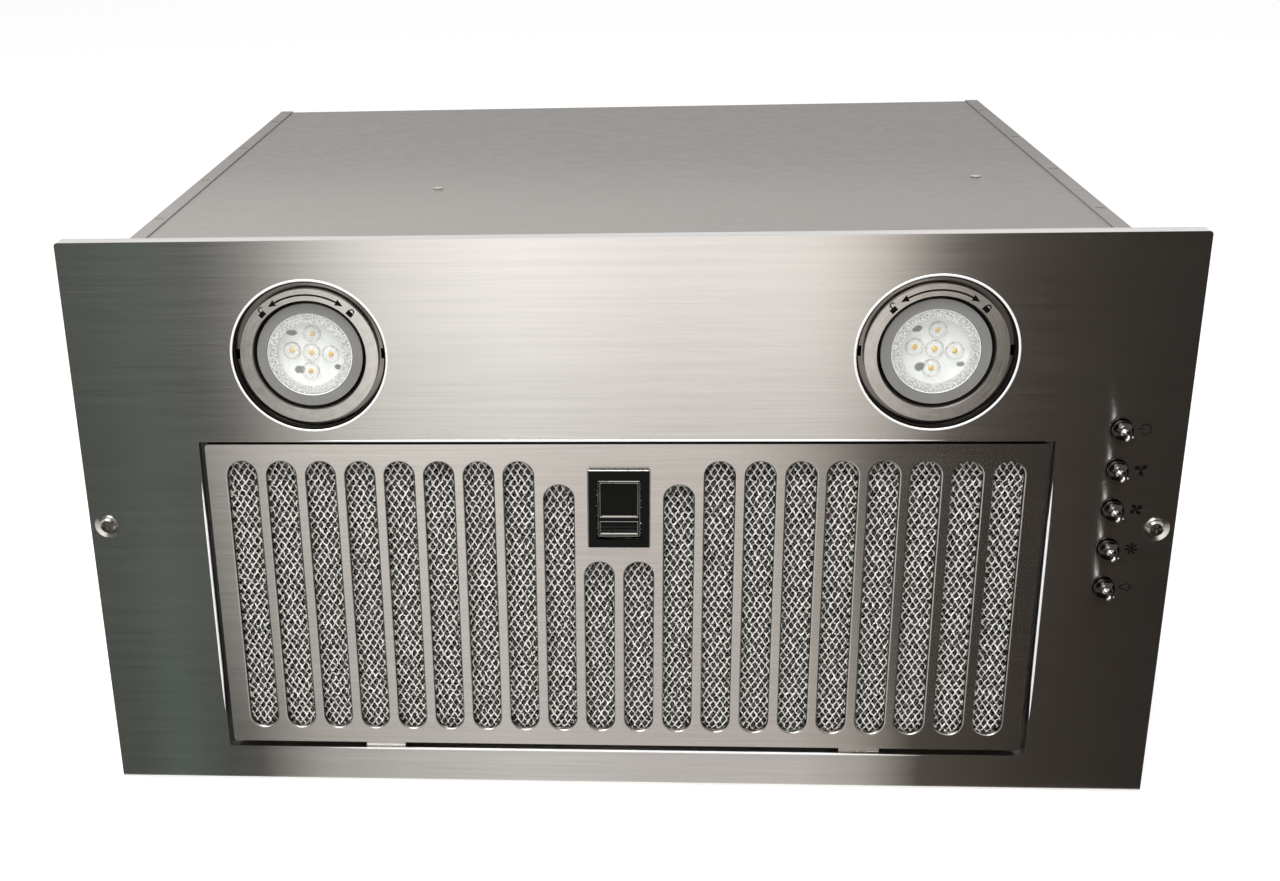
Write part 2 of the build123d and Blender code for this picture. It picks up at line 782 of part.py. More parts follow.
def latch_slide():
    """Thumb piece with its tongue; it moves down to free the filter."""
    tongue_front, tongue_rear = tongue_y()
    low, high = thumb_z()
    front = bezel_face - bezel_proud + slide_gap
    half = thumb_width / 2
    slide = plate_y(rectangle((-half, half), (low, high), thumb_radius), (front, tongue_rear))
    slide = fillet(slide.edges().filter_by_position(Axis.Y, front - 0.01, front + 0.01), thumb_edge_radius)
    dish_top = high - (thumb_width - dish_width) / 2
    dish_bottom = dish_top - dish_height
    dish = rectangle((-dish_width / 2, dish_width / 2), (dish_bottom, dish_top), dish_radius)
    slide -= plate_y(dish, (front, front + dish_depth))
    grip_bottom = low + (thumb_width - dish_width) / 2
    grip = rectangle((-dish_width / 2, dish_width / 2), (grip_bottom, grip_bottom + grip_height),
                     grip_radius)
    slide -= plate_y(grip, (front, front + dish_depth))
    rib_pitch = grip_height / (grip_ribs + 1)
    for index in range(grip_ribs):
        z = grip_bottom + (index + 1) * rib_pitch
        slide += rod_x(grip_rib_radius, (-dish_width / 2, dish_width / 2), front + dish_depth, z)
    slide += block((-tongue_width / 2, tongue_width / 2), (tongue_front, tongue_rear),
                   (low, opening_top - slide_gap))
    anvil_low, anvil_high = spring_anvil_z()
    pocket_half = spring_radius + spring_wire + slide_gap
    pocket_front = spring_pocket_front()
    pocket_top = anvil_high + spring_length + 2 * spring_wire
    slide -= block((-pocket_half, pocket_half), (pocket_front, tongue_rear),
                   (anvil_low - slide_gap, pocket_top))
    return slide


def latch_spring():
    """Small compression spring in the thumb piece."""
    bottom = spring_anvil_z()[1] + spring_wire
    pitch = spring_length / spring_turns
    y = (spring_pocket_front() + housing_depth - housing_back) / 2
    path = Pos(0, y, bottom) * Helix(pitch, spring_length - spring_wire, spring_radius)
    section = Plane(origin=path @ 0, z_dir=path % 0) * Circle(spring_wire / 2)
    return sweep(section, path=path, is_frenet=True)


# ---------------------------------------------------------------- lights

def light_ring(x):
    """Twist ring: a flat brushed annulus with a cone inside and a bayonet spigot behind."""
    plate_rear = ring_front + ring_plate
    spigot_rear = ring_front + spigot_depth
    cone_rear = ring_front + cone_depth
    spigot_inner = spigot_radius - spigot_wall
    points = ((ring_inner_radius, ring_front), (ring_outer_radius, ring_front),
              (ring_outer_radius, plate_rear), (spigot_radius, plate_rear),
              (spigot_radius, spigot_rear), (spigot_inner, spigot_rear),
              (spigot_inner, cone_rear), (cone_end_radius, cone_rear),
              (cone_end_radius, cone_rear - cone_sheet))
    ring = turned_y(points, x, light_height)
    reach = spigot_radius + lug_reach
    for side in (-1, 1):
        ends = sorted((side * (spigot_radius - spigot_wall / 2), side * reach))
        lug = block((x + ends[0], x + ends[1]), (lug_start, lug_start + lug_length),
                    (light_height - lug_width / 2, light_height + lug_width / 2))
        ring += lug & rod_y(reach, (lug_start, lug_start + lug_length), x, light_height)
    return ring


def lug_track(x):
    """Space in the can's wall for the two lugs, from locked to open."""
    margin = radians(track_margin)
    start = -lug_width / 2 / spigot_radius - margin
    end = radians(ring_turn) + lug_width / 2 / spigot_radius + margin
    outer = can_bore_radius + can_sheet + past
    y_range = (lug_start - slide_gap, lug_start + lug_length + slide_gap)
    wedge = make_face(Polyline((0, 0), (outer * cos(start), outer * sin(start)),
                               (outer * cos((start + end) / 2) * 1.1, outer * sin((start + end) / 2) * 1.1),
                               (outer * cos(end), outer * sin(end)), close=True))
    tracks = []
    for turn in (0, 180):
        track = extrude(Pos(x, y_range[1], light_height) * Rot(90, 0, 0) * Rot(0, 0, turn) * wedge,
                        amount=y_range[1] - y_range[0], dir=(0, -1, 0))
        tracks.append(track)
    return tracks


def light_can(x):
    """Pressed cup behind the panel, with a flange, the lug tracks and a seat for the lampholder."""
    front = light_collar_depth
    outer = can_bore_radius + can_sheet
    points = ((can_bore_radius, front), (can_flange_radius, front),
              (can_flange_radius, front + can_sheet), (outer, front + can_sheet),
              (outer, can_depth), (holder_hole_radius, can_depth),
              (holder_hole_radius, can_depth - can_sheet), (can_bore_radius, can_depth - can_sheet))
    can = turned_y(points, x, light_height)
    for track in lug_track(x):
        can -= track
    mark_x = (light_hole_radius + ring_outer_radius) / 2
    for side in (-1, 1):
        centre = x + side * mark_x
        can -= block((centre - mark_width / 2, centre + mark_width / 2), (front, front + can_sheet),
                     (light_height - mark_height / 2, light_height + mark_height / 2))
    return can


def lamp(x):
    """Reflector lamp with a twist base: rim, tapered body, base and two pins."""
    front = lamp_front
    rear = front + lamp_length
    neck = rear - lamp_base_length
    points = ((0, front + lamp_recess_depth), (lamp_recess_radius, front + lamp_recess_depth),
              (lamp_recess_radius, front), (lamp_radius, front), (lamp_radius, front + lamp_rim_depth),
              (lamp_neck_radius, neck), (lamp_base_radius, neck), (lamp_base_radius, rear), (0, rear))
    body = turned_y(points, x, light_height)
    for side in (-1, 1):
        body += rod_y(pin_radius, (rear - past, rear + pin_length), x + side * pin_pitch / 2, light_height)
    return body


def lamp_leds(x):
    """Board with one light-emitting lens in the centre and four round it."""
    floor = lamp_front + lamp_recess_depth
    board_front = floor - led_board
    radius = lamp_recess_radius - lens_fit
    leds = rod_y(radius, (board_front, floor), x, light_height)
    places = [(0.0, 0.0)]
    for index in range(led_count):
        angle = radians(360 / led_count * index)
        places.append((led_circle * cos(angle), led_circle * sin(angle)))
    for dx, dz in places:
        dome = Pos(x + dx, board_front + led_sink, light_height + dz) * Sphere(led_radius)
        leds += dome & rod_y(led_radius + past, (board_front - led_radius, floor), x + dx, light_height + dz)
    return leds


def lamp_lens(x):
    """Clear front disc of the lamp."""
    front = lamp_front + slide_gap
    return rod_y(lamp_recess_radius - lens_fit, (front, front + lens_thickness), x, light_height)


def lampholder(x):
    """Ceramic holder with two pin sockets, seated on the can's rear."""
    front = lamp_front + lamp_length + holder_gap
    rear = can_depth - can_sheet
    holder = rod_y(holder_radius, (front, rear), x, light_height)
    for side in (-1, 1):
        place = x + side * pin_pitch / 2
        holder -= rod_y(pin_radius + holder_gap, (front, front + pin_length + past), place, light_height)
    return holder


# ---------------------------------------------------------------- controls

def button(z):
    """Chrome push button: a round foot that slopes in to a neck, and out again to a small tip."""
    base = button_base_radius
    neck = button_neck_radius
    tip = button_tip_radius
    flange_front = flange_rear - button_flange
    stem_rear = socket_rear - button_travel - socket_gap
    foot = -button_foot
    edge = button_crown - button_proud
    crown_radius = (tip ** 2 + button_crown ** 2) / (2 * button_crown)
    half_tip = tip / 2
    half_y = crown_radius - button_proud - sqrt(crown_radius ** 2 - half_tip ** 2)
    waist = Spline((base, foot), (neck + button_waist, -button_waist_at), (neck, -button_neck_at))
    flare = Line((neck, -button_neck_at), (tip, edge))
    cap = ThreePointArc((tip, edge), (half_tip, half_y), (0, -button_proud))
    inside = Polyline((0, -button_proud), (0, stem_rear), (button_stem_radius, stem_rear),
                      (button_stem_radius, flange_rear), (button_flange_radius, flange_rear),
                      (button_flange_radius, flange_front), (base, flange_front), (base, foot))
    outline = make_face(Curve() + [waist, flare, cap, inside])
    return Pos(button_x, 0, z) * revolve(outline, Axis.Y)


def switch_z():
    """Bottom and top of the switch block."""
    places = [z for _, z in button_places()]
    return (min(places) - switch_margin, max(places) + switch_margin)


def switch_block():
    """Row of five push switches in one block, with a socket for each button's stem."""
    half = switch_width / 2
    low, high = switch_z()
    switch = block((button_x - half, button_x + half), (switch_front, switch_rear), (low, high))
    for _, z in button_places():
        switch -= rod_y(button_stem_radius + slide_gap, (switch_front, socket_rear), button_x, z)
    for z in (low + switch_margin / 3, high - switch_margin / 3):
        peg_rear = switch_rear + bracket_sheet + peg_length
        switch += rod_y(button_stem_radius, (switch_rear, peg_rear), button_x, z)
    return switch


def switch_bracket():
    """Bent strip that holds the switch block to the back of the panel."""
    half = switch_width / 2
    rear = switch_rear
    low, high = switch_z()
    x_range = (button_x - half, button_x + half)
    strap = block(x_range, (rear, rear + bracket_sheet), (low - bracket_sheet, high + bracket_sheet))
    for z_leg, z_foot in (((high, high + bracket_sheet), (high, high + bracket_foot)),
                          ((low - bracket_sheet, low), (low - bracket_foot, low))):
        strap += block(x_range, (panel_sheet, rear + bracket_sheet), z_leg)
        strap += block(x_range, (panel_sheet, panel_sheet + bracket_sheet), z_foot)
    for z in (low + switch_margin / 3, high - switch_margin / 3):
        strap -= rod_y(button_stem_radius + seat_fit, (rear, rear + bracket_sheet), button_x, z)
    return strap


def panel_screws():
    """Two pan-head screws that hold the insert up into the cabinet."""
    screws = []
    seat = dimple_depth
    for x in (-screw_x, screw_x):
        top = seat - screw_head_height
        shoulder = (screw_head_height - screw_head_rim) / 4
        head = turned_y(((0, seat), (screw_head_radius - screw_head_fit, seat),
                         (screw_head_radius - screw_head_fit, seat - screw_head_rim),
                         (screw_crown_radius, top + shoulder), (0, top)), x, screw_z)
        for length, width in ((cross_length, cross_width), (cross_width, cross_length)):
            head -= block((x - length / 2, x + length / 2),
                          (seat - screw_head_height, seat - screw_head_height + cross_depth),
                          (screw_z - width / 2, screw_z + width / 2))
        head += rod_y(screw_neck_radius, (seat, return_depth), x, screw_z)
        screws.append(head + rod_y(screw_radius, (return_depth, seat + screw_length), x, screw_z))
    return as_node(screws)


# ---------------------------------------------------------------- blower

def spiral_radius(angle):
    """Inner radius of the scroll at an angle from +Y towards +Z, growing from the tongue to the top."""
    return scroll_throat_radius + scroll_growth * (tongue_angle + 360 - angle)


def outlet_z():
    """Bottom and top of the scroll's outlet."""
    return (scroll_z + scroll_throat_radius * sin(radians(tongue_angle)), scroll_z + spiral_radius(90))


def scroll_outline(grow):
    """The scroll seen along X, as a flat shape in Y and Z, larger all round by the given amount."""
    rear = body_depth - body_sheet
    low, high = outlet_z()
    end = 360 + degrees(asin((low - grow - scroll_z) / (scroll_throat_radius + grow)))
    steps = round((end - 90) / scroll_step)
    angles = [90 + (end - 90) * index / steps for index in range(steps + 1)]
    curve = [(scroll_y + (spiral_radius(a) + grow) * cos(radians(a)),
              scroll_z + (spiral_radius(a) + grow) * sin(radians(a))) for a in angles]
    spiral = Spline(*curve)
    closing = Polyline(curve[-1], (rear, low - grow), (rear, high + grow), curve[0])
    return make_face(Curve() + [spiral, closing])


def along_x(sketch, x_range):
    """Extrude a flat shape given in Y and Z along X."""
    plane = Plane(origin=(x_range[0], 0, 0), x_dir=(0, 1, 0), z_dir=(1, 0, 0))
    return extrude(plane * sketch, amount=x_range[1] - x_range[0], dir=(1, 0, 0))


def scroll_wrap():
    """The curved strip of the blower housing, with its outlet walls."""
    x_range = (-half_scroll, half_scroll)
    strip = scroll_outline(scroll_sheet) - scroll_outline(0)
    return along_x(strip, x_range)


def scroll_side(side):
    """Flat side of the blower housing, with a spun inlet ring seated in its round hole."""
    ends = sorted((side * half_scroll, side * side_face))
    plate = along_x(scroll_outline(scroll_sheet), ends)
    plate -= rod_x(inlet_radius, (ends[0] - past, ends[1] + past), scroll_y, scroll_z)
    return as_node([plate, inlet_ring(side)])


def inlet_ring(side):
    """Flared lip that leads air into the wheel's eye."""
    inside = half_scroll - inlet_lip
    outer = inlet_radius
    bore = inlet_radius - inlet_sheet
    points = ((inside, outer), (inside, bore), (side_face + inlet_sheet, bore),
              (side_face + inlet_sheet, bore + inlet_flare), (side_face, bore + inlet_flare),
              (side_face, outer))
    mirrored = [(side * x, radius) for x, radius in points]
    return turned_x(mirrored, scroll_y, scroll_z)


def blower_wheel():
    """Body of the squirrel-cage wheel: a centre plate with a hub, and the two end rings."""
    half = wheel_width / 2
    plate = rod_x(wheel_radius, (-wheel_plate / 2, wheel_plate / 2), scroll_y, scroll_z)
    plate += rod_x(hub_radius, (hub_left, hub_right), scroll_y, scroll_z)
    plate -= rod_x(shaft_radius + seat_fit, (hub_left, hub_right), scroll_y, scroll_z)
    rim_outer = wheel_radius + blade_sheet
    rim_inner = wheel_eye_radius - blade_sheet
    rings = [tube_x(rim_outer, rim_inner, ends, scroll_y, scroll_z)
             for ends in ((-half, wheel_ring - half), (half - wheel_ring, half))]
    return as_node([plate, *rings])


def wheel_blades():
    """Curved blades of the wheel, from its centre plate to each end ring."""
    inner = (wheel_eye_radius, 0)
    middle_radius = (wheel_eye_radius + wheel_radius) / 2
    lean = radians(blade_turn)
    middle = (middle_radius * cos(lean * 0.2), middle_radius * sin(lean * 0.2))
    outer = (wheel_radius * cos(lean), wheel_radius * sin(lean))
    section = trace(ThreePointArc(inner, middle, outer), blade_sheet)
    near = wheel_plate / 2
    far = wheel_width / 2 - wheel_ring
    blade = extrude(section, amount=far - near)
    blades = []
    for start in (-far, near):
        along = Pos(start, scroll_y, scroll_z) * Rot(0, 90, 0)
        blades += [along * Rot(0, 0, 360 / blade_count * index) * blade for index in range(blade_count)]
    return as_node(blades)


def motor_shaft():
    """Steel shaft that carries the rotor and the wheel."""
    return rod_x(shaft_radius, (shaft_left, shaft_right), scroll_y, scroll_z)


def motor_rotor():
    """Rotor on the shaft."""
    return tube_x(rotor_radius, shaft_radius + seat_fit, (stator_left, stator_right), scroll_y, scroll_z)


def motor_stator():
    """Stator ring in the can."""
    return tube_x(stator_radius, stator_bore, (stator_left, stator_right), scroll_y, scroll_z)


def motor_can():
    """Deep-drawn motor shell with the front bearing seat."""
    inner = motor_radius - motor_wall
    seat_outer = bearing_radius + seat_fit + bearing_seat_wall
    seat_inner = bearing_radius + seat_fit
    front_inside = motor_right - motor_wall
    seat_end = front_inside - bearing_width
    bore = shaft_radius + 1.0
    points = ((motor_left + motor_wall, motor_radius), (motor_right, motor_radius), (motor_right, bore),
              (front_inside, bore), (front_inside, seat_inner), (seat_end, seat_inner),
              (seat_end, seat_outer), (front_inside, seat_outer), (front_inside, inner),
              (motor_left + motor_wall, inner))
    return turned_x(points, scroll_y, scroll_z)


def motor_cap():
    """Rear cap of the motor with the second bearing seat."""
    seat_outer = bearing_radius + seat_fit + bearing_seat_wall
    seat_inner = bearing_radius + seat_fit
    inside = motor_left + motor_wall
    points = ((motor_left, 0), (motor_left, motor_radius), (inside, motor_radius), (inside, seat_outer),
              (inside + bearing_width, seat_outer), (inside + bearing_width, seat_inner),
              (inside, seat_inner), (inside, 0))
    return turned_x(points, scroll_y, scroll_z)


def motor_bearings():
    """Two shaft bearings."""
    front_end = motor_right - motor_wall
    rear_end = motor_left + motor_wall
    bore = shaft_radius + shaft_fit
    rings = [tube_x(bearing_radius, bore, ends, scroll_y, scroll_z)
             for ends in ((front_end - bearing_width, front_end), (rear_end, rear_end + bearing_width))]
    return as_node(rings)


def arm_angles():
    """Angles of the motor bracket's arms."""
    return [90 + index * 360 / arm_count for index in range(arm_count)]


def motor_bracket():
    """Clamp ring with three arms that bolt to the left side of the housing."""
    ring_inner = motor_radius + seat_fit
    bracket = tube_x(ring_inner + clamp_wall, ring_inner, (clamp_left, clamp_right), scroll_y, scroll_z)
    place = Pos(0, scroll_y, scroll_z)
    face = -side_face
    for angle in arm_angles():
        arm = block((clamp_left, clamp_right), (ring_inner + clamp_wall / 2, arm_reach),
                    (-arm_width / 2, arm_width / 2))
        arm += block((clamp_left, face), (arm_reach - arm_width, arm_reach), (-arm_width / 2, arm_width / 2))
        arm -= block((clamp_left - 1, face - arm_pad), (arm_reach - arm_width + arm_pad, arm_reach + 1),
                     (-arm_width, arm_width))
        bracket += place * Rot(angle, 0, 0) * arm
    for y, z in arm_screw_places():
        bracket -= rod_x(arm_screw_radius + seat_fit, (face - arm_pad, face), y, z)
    return bracket


def arm_screw_places():
    """Y and Z of the bracket's screws."""
    radius = arm_reach - arm_width / 2 + arm_pad / 2
    return [(scroll_y + radius * cos(radians(a)), scroll_z + radius * sin(radians(a))) for a in arm_angles()]


def bracket_screws():
    """Screws of the motor bracket."""
    seat = -side_face - arm_pad
    screws = []
    for y, z in arm_screw_places():
        screw = rod_x(arm_screw_head, (seat - arm_screw_height, seat), y, z)
        screws.append(screw + rod_x(arm_screw_radius, (seat, seat + arm_pad), y, z))
    return as_node(screws)


def blower_hanger():
    """Angle bracket from the top wall to the left side of the blower housing."""
    roof = body_top - body_sheet
    face = -side_face
    hanger = block((hanger_left, face), (hanger_front, hanger_rear), (roof - hanger_sheet, roof))
    leg_low = scroll_z + spiral_radius(90) + scroll_sheet - hanger_lap
    hanger += block((face - hanger_sheet, face), (hanger_leg_front, hanger_rear), (leg_low, roof))
    x, y = roof_rivets[0]
    return hanger - rod_z(rivet_radius + rivet_fit, (roof - hanger_sheet, roof), x, y)


def blower_foot():
    """Angle bracket from the bottom wall to the right side of the blower housing."""
    floor = body_bottom + body_sheet
    foot = block((side_face, side_face + foot_width), (foot_front, foot_rear), (floor, floor + hanger_sheet))
    foot += block((side_face, side_face + hanger_sheet), (foot_front, foot_rear), (floor, floor + foot_rise))
    return foot


# ---------------------------------------------------------------- outlet

def plate_screw_places():
    """X and Z of the screws that hold the collar's plate."""
    reach = collar_plate / 2 - plate_screw_inset
    return [(x, collar_z + z) for x in (-reach, reach) for z in (-reach, reach)]


def flap_axis_y():
    """Y of the flaps' rod."""
    return body_depth + collar_sheet + knuckle_radius - knuckle_sink


def duct_collar():
    """Square plate, and the round collar with a stop bead and two rod holes that stands on it."""
    half = collar_plate / 2
    seat = body_depth + collar_sheet
    rear = body_depth + collar_length
    plate = plate_y(rectangle((-half, half), (collar_z - half, collar_z + half), collar_plate_radius),
                    (body_depth, seat))
    plate -= rod_y(collar_seat_radius, (body_depth, seat), 0, collar_z)
    for x, z in plate_screw_places():
        plate -= rod_y(small_screw_radius + small_screw_fit, (body_depth, seat), x, z)
    inner = collar_radius - collar_wall
    bead_y = rear - bead_at
    points = ((inner, seat), (collar_radius, seat), (collar_radius, bead_y - bead_radius),
              (collar_radius + bead_radius, bead_y), (collar_radius, bead_y + bead_radius),
              (collar_radius, rear), (inner, rear))
    collar = turned_y(points, 0, collar_z)
    reach = collar_radius + bead_radius
    collar -= rod_z(flap_rod_radius + flap_fit, (collar_z - reach, collar_z + reach), 0, flap_axis_y())
    return as_node([plate, collar])


def collar_screws():
    """Four screws of the collar's plate."""
    seat = body_depth + collar_sheet
    screws = []
    for x, z in plate_screw_places():
        screw = rod_y(small_head_radius, (seat, seat + small_head_height), x, z)
        screws.append(screw + rod_y(small_screw_radius, (seat - small_screw_tail, seat), x, z))
    return as_node(screws)


def flap_rod():
    """Rod across the collar that carries both flaps."""
    reach = collar_radius + rod_end
    return rod_z(flap_rod_radius, (collar_z - reach, collar_z + reach), 0, flap_axis_y())


def damper_flap(side):
    """Half-round flap with knuckles on the rod; left is -1, right is +1."""
    axis_y = flap_axis_y()
    front = body_depth + collar_sheet + flap_gap
    disc = rod_y(flap_radius, (front, front + flap_sheet), 0, collar_z)
    half = disc & block(sorted((0.0, side * flap_radius)), (front, front + flap_sheet),
                        (collar_z - flap_radius, collar_z + flap_radius))
    clear = knuckle_radius + knuckle_gap
    pitch = knuckle_span / knuckle_count
    own = 0 if side < 0 else 1
    flap = half - block((-clear, clear), (front - 1, front + flap_sheet + 1),
                        (collar_z - flap_radius, collar_z + flap_radius))
    for index in range(knuckle_count):
        if index % 2 != own:
            continue
        low = collar_z - knuckle_span / 2 + index * pitch + knuckle_gap
        high = low + pitch - 2 * knuckle_gap
        knuckle = rod_z(knuckle_radius, (low, high), 0, axis_y)
        knuckle += block(sorted((0.0, side * (clear + 1))), (front, front + flap_sheet), (low, high))
        flap += knuckle
    rod_range = (collar_z - flap_radius, collar_z + flap_radius)
    return flap - rod_z(flap_rod_radius + flap_fit, rod_range, 0, axis_y)


# ---------------------------------------------------------------- wiring

def wiring_box():
    """Open sheet box under the top wall."""
    roof = body_top - body_sheet
    floor = roof - box_drop
    x_range = (box_left, box_right)
    y_range = (box_front, box_rear)
    box = block(x_range, y_range, (floor, roof))
    box -= block((box_left + box_sheet, box_right - box_sheet), (box_front + box_sheet, box_rear - box_sheet),
                 (floor, roof - hanger_sheet))
    x, y = roof_rivets[1]
    box -= rod_z(rivet_radius + rivet_fit, (roof - hanger_sheet, roof), x, y)
    return box - rod_y(grommet_neck, (box_rear - box_sheet, box_rear), (box_left + box_right) / 2,
                       floor + box_drop / 2)


def wiring_cover():
    """Cover that closes the wiring box from below."""
    floor = body_top - body_sheet - box_drop
    x_whole = (box_left - box_sheet, box_right + box_sheet)
    y_range = (box_front - box_sheet, box_rear + box_sheet)
    cover = block(x_whole, y_range, (floor - box_sheet, floor))
    for x_range in ((box_left - box_sheet, box_left), (box_right, box_right + box_sheet)):
        cover += block(x_range, y_range, (floor, floor + box_drop / 4))
    return cover


def terminal_block():
    """Screw terminals inside the wiring box, resting on its cover."""
    floor = body_top - body_sheet - box_drop
    mid_x = (box_left + box_right) / 2
    mid_y = (box_front + box_rear) / 2
    block_x = (mid_x - terminal_length / 2, mid_x + terminal_length / 2)
    terminals = block(block_x, (mid_y - terminal_width / 2, mid_y + terminal_width / 2),
                      (floor, floor + terminal_height))
    pitch = terminal_length / terminal_ways
    for index in range(terminal_ways):
        x = block_x[0] + (index + 0.5) * pitch
        terminals -= rod_z(terminal_hole, (floor + terminal_height / 2, floor + terminal_height), x, mid_y)
    return terminals


def cable_grommet():
    """Rubber bush in the back wall for the supply cable."""
    inner_face = body_depth - body_sheet
    points = ((grommet_bore, inner_face - grommet_rim_depth), (grommet_rim, inner_face - grommet_rim_depth),
              (grommet_rim, inner_face), (grommet_neck, inner_face), (grommet_neck, body_depth),
              (grommet_rim, body_depth), (grommet_rim, body_depth + grommet_rim_depth),
              (grommet_bore, body_depth + grommet_rim_depth))
    return turned_y(points, grommet_x, grommet_z)


def capacitor():
    """Motor capacitor lying on the bottom wall."""
    z = body_bottom + body_sheet + clip_wall + capacitor_radius
    front = capacitor_y - capacitor_length / 2
    rear = capacitor_y + capacitor_length / 2
    can = rod_y(capacitor_radius, (front, rear), capacitor_x, z)
    return can + rod_y(capacitor_stud_radius, (rear, rear + capacitor_stud), capacitor_x, z)


def capacitor_clip():
    """Strap that holds the capacitor down."""
    floor = body_bottom + body_sheet
    z = floor + clip_wall + capacitor_radius
    y_range = (capacitor_y - clip_width / 2, capacitor_y + clip_width / 2)
    outer = capacitor_radius + seat_fit + clip_wall
    clip = tube_y(outer, capacitor_radius + seat_fit, y_range, capacitor_x, z)
    clip -= block((capacitor_x - outer, capacitor_x + outer), y_range, (z - outer, floor))
    clip += block((capacitor_x - outer - clip_tab, capacitor_x - outer + clip_wall), y_range,
                  (floor, floor + clip_wall))
    clip += block((capacitor_x + outer - clip_wall, capacitor_x + outer + clip_tab), y_range,
                  (floor, floor + clip_wall))
    for side in (-1, 1):
        wall_x = sorted((capacitor_x + side * outer, capacitor_x + side * (outer - clip_wall)))
        clip += block(wall_x, y_range, (floor, z))
    return clip - rod_y(capacitor_radius + seat_fit, y_range, capacitor_x, z)


def nodes():
    """Every node of the insert: name and solid."""
    made = {
        "face_panel": face_panel(),
        "filter_frame": filter_frame(),
        "top_wall": top_wall(),
        "bottom_wall": bottom_wall(),
        "left_wall": short_wall(-1),
        "right_wall": short_wall(1),
        "back_wall": back_wall(),
        "roof_rivets": roof_rivets_node(),
        "panel_screws": panel_screws(),
        "filter_face": filter_face(),
        "filter_pad": filter_pad(),
        "filter_back": filter_back(),
        "latch_bezel": latch_bezel(),
        "latch_slide": latch_slide(),
        "latch_spring": latch_spring(),
        "switch_block": switch_block(),
        "switch_bracket": switch_bracket(),
        "scroll_wrap": scroll_wrap(),
        "scroll_side_left": scroll_side(-1),
        "scroll_side_right": scroll_side(1),
        "blower_wheel": blower_wheel(),
        "wheel_blades": wheel_blades(),
        "motor_shaft": motor_shaft(),
        "motor_rotor": motor_rotor(),
        "motor_stator": motor_stator(),
        "motor_can": motor_can(),
        "motor_cap": motor_cap(),
        "motor_bearings": motor_bearings(),
        "motor_bracket": motor_bracket(),
        "bracket_screws": bracket_screws(),
        "blower_hanger": blower_hanger(),
        "blower_foot": blower_foot(),
        "duct_collar": duct_collar(),
        "collar_screws": collar_screws(),
        "flap_rod": flap_rod(),
        "damper_flap_left": damper_flap(-1),
        "damper_flap_right": damper_flap(1),
        "wiring_box": wiring_box(),
        "wiring_cover": wiring_cover(),
        "terminal_block": terminal_block(),
        "cable_grommet": cable_grommet(),
        "capacitor": capacitor(),
        "capacitor_clip": capacitor_clip(),
    }
    for name, x in light_places():
        made[f"light_ring_{name}"] = light_ring(x)
        made[f"light_can_{name}"] = light_can(x)
        made[f"lamp_{name}"] = lamp(x)
        made[f"lamp_leds_{name}"] = lamp_leds(x)
        made[f"lamp_lens_{name}"] = lamp_lens(x)
        made[f"lampholder_{name}"] = lampholder(x)
    for name, z in button_places():
        made[f"button_{name}"] = button(z)
    return made


for node_name, node_shape in nodes().items():
    save(node_name, node_shape)
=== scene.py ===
import logging
from dataclasses import dataclass, replace
from enum import Enum
from math import cos, pi, radians, sin
from typing import Any, Callable, Iterable, Sequence

import bpy
import numpy as np
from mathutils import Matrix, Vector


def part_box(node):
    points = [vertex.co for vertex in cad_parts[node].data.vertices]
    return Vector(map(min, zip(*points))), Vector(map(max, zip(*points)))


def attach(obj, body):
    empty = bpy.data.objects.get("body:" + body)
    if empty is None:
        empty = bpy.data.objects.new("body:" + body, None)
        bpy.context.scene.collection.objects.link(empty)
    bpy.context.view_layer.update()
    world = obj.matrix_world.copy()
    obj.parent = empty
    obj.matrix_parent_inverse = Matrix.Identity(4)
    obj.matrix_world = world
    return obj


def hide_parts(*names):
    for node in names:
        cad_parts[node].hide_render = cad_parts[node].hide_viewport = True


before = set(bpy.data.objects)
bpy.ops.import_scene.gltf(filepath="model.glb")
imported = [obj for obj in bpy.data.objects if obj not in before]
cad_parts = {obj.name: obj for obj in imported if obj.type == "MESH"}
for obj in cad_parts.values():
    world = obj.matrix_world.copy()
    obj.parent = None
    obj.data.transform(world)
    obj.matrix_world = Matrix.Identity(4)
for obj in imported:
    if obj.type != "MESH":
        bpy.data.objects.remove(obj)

# Looks of a built-in range hood insert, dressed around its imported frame. All lengths are in
# metres in the frame's own axes: X along the face panel, Y from the panel back into the body,
# Z up. The insert stands on the lower long edge of its panel.

log = logging.getLogger("hood_insert")
Colour = tuple[float, float, float]
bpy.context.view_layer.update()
MM = 0.001
BLACK: Colour = (0.0, 0.0, 0.0)


# ---------------------------------------------------------------- shader toolkit

def math_node(operation: str, reflected: bool = False) -> Callable[["Wire", Any], "Wire"]:
    """The method behind an operator: it adds a Math node of two values.

    Args:
        operation: The Math node's operation.
        reflected: Whether the operator's own value stands on its right.

    Returns:
        The method.
    """
    def method(wire: "Wire", other: Any) -> "Wire":
        """Adds the node and returns its output."""
        pair = {0: other, 1: wire} if reflected else {0: wire, 1: other}
        return wire.sheet.node("ShaderNodeMath", {"operation": operation}, pair)
    return method


class Wire:
    """A shader value. Python's operators on it add Math nodes."""

    __add__ = math_node("ADD")
    __sub__ = math_node("SUBTRACT")
    __rsub__ = math_node("SUBTRACT", True)
    __mul__ = math_node("MULTIPLY")
    __truediv__ = math_node("DIVIDE")
    __pow__ = math_node("POWER")

    def __init__(self, sheet: "NodeSheet", socket: bpy.types.NodeSocket) -> None:
        """Wraps one output socket of a node sheet."""
        self.sheet = sheet
        self.socket = socket

    def fold(self, operation: str, other: Any = 0.0) -> "Wire":
        """Any other Math operation of this value and one more."""
        return math_node(operation)(self, other)


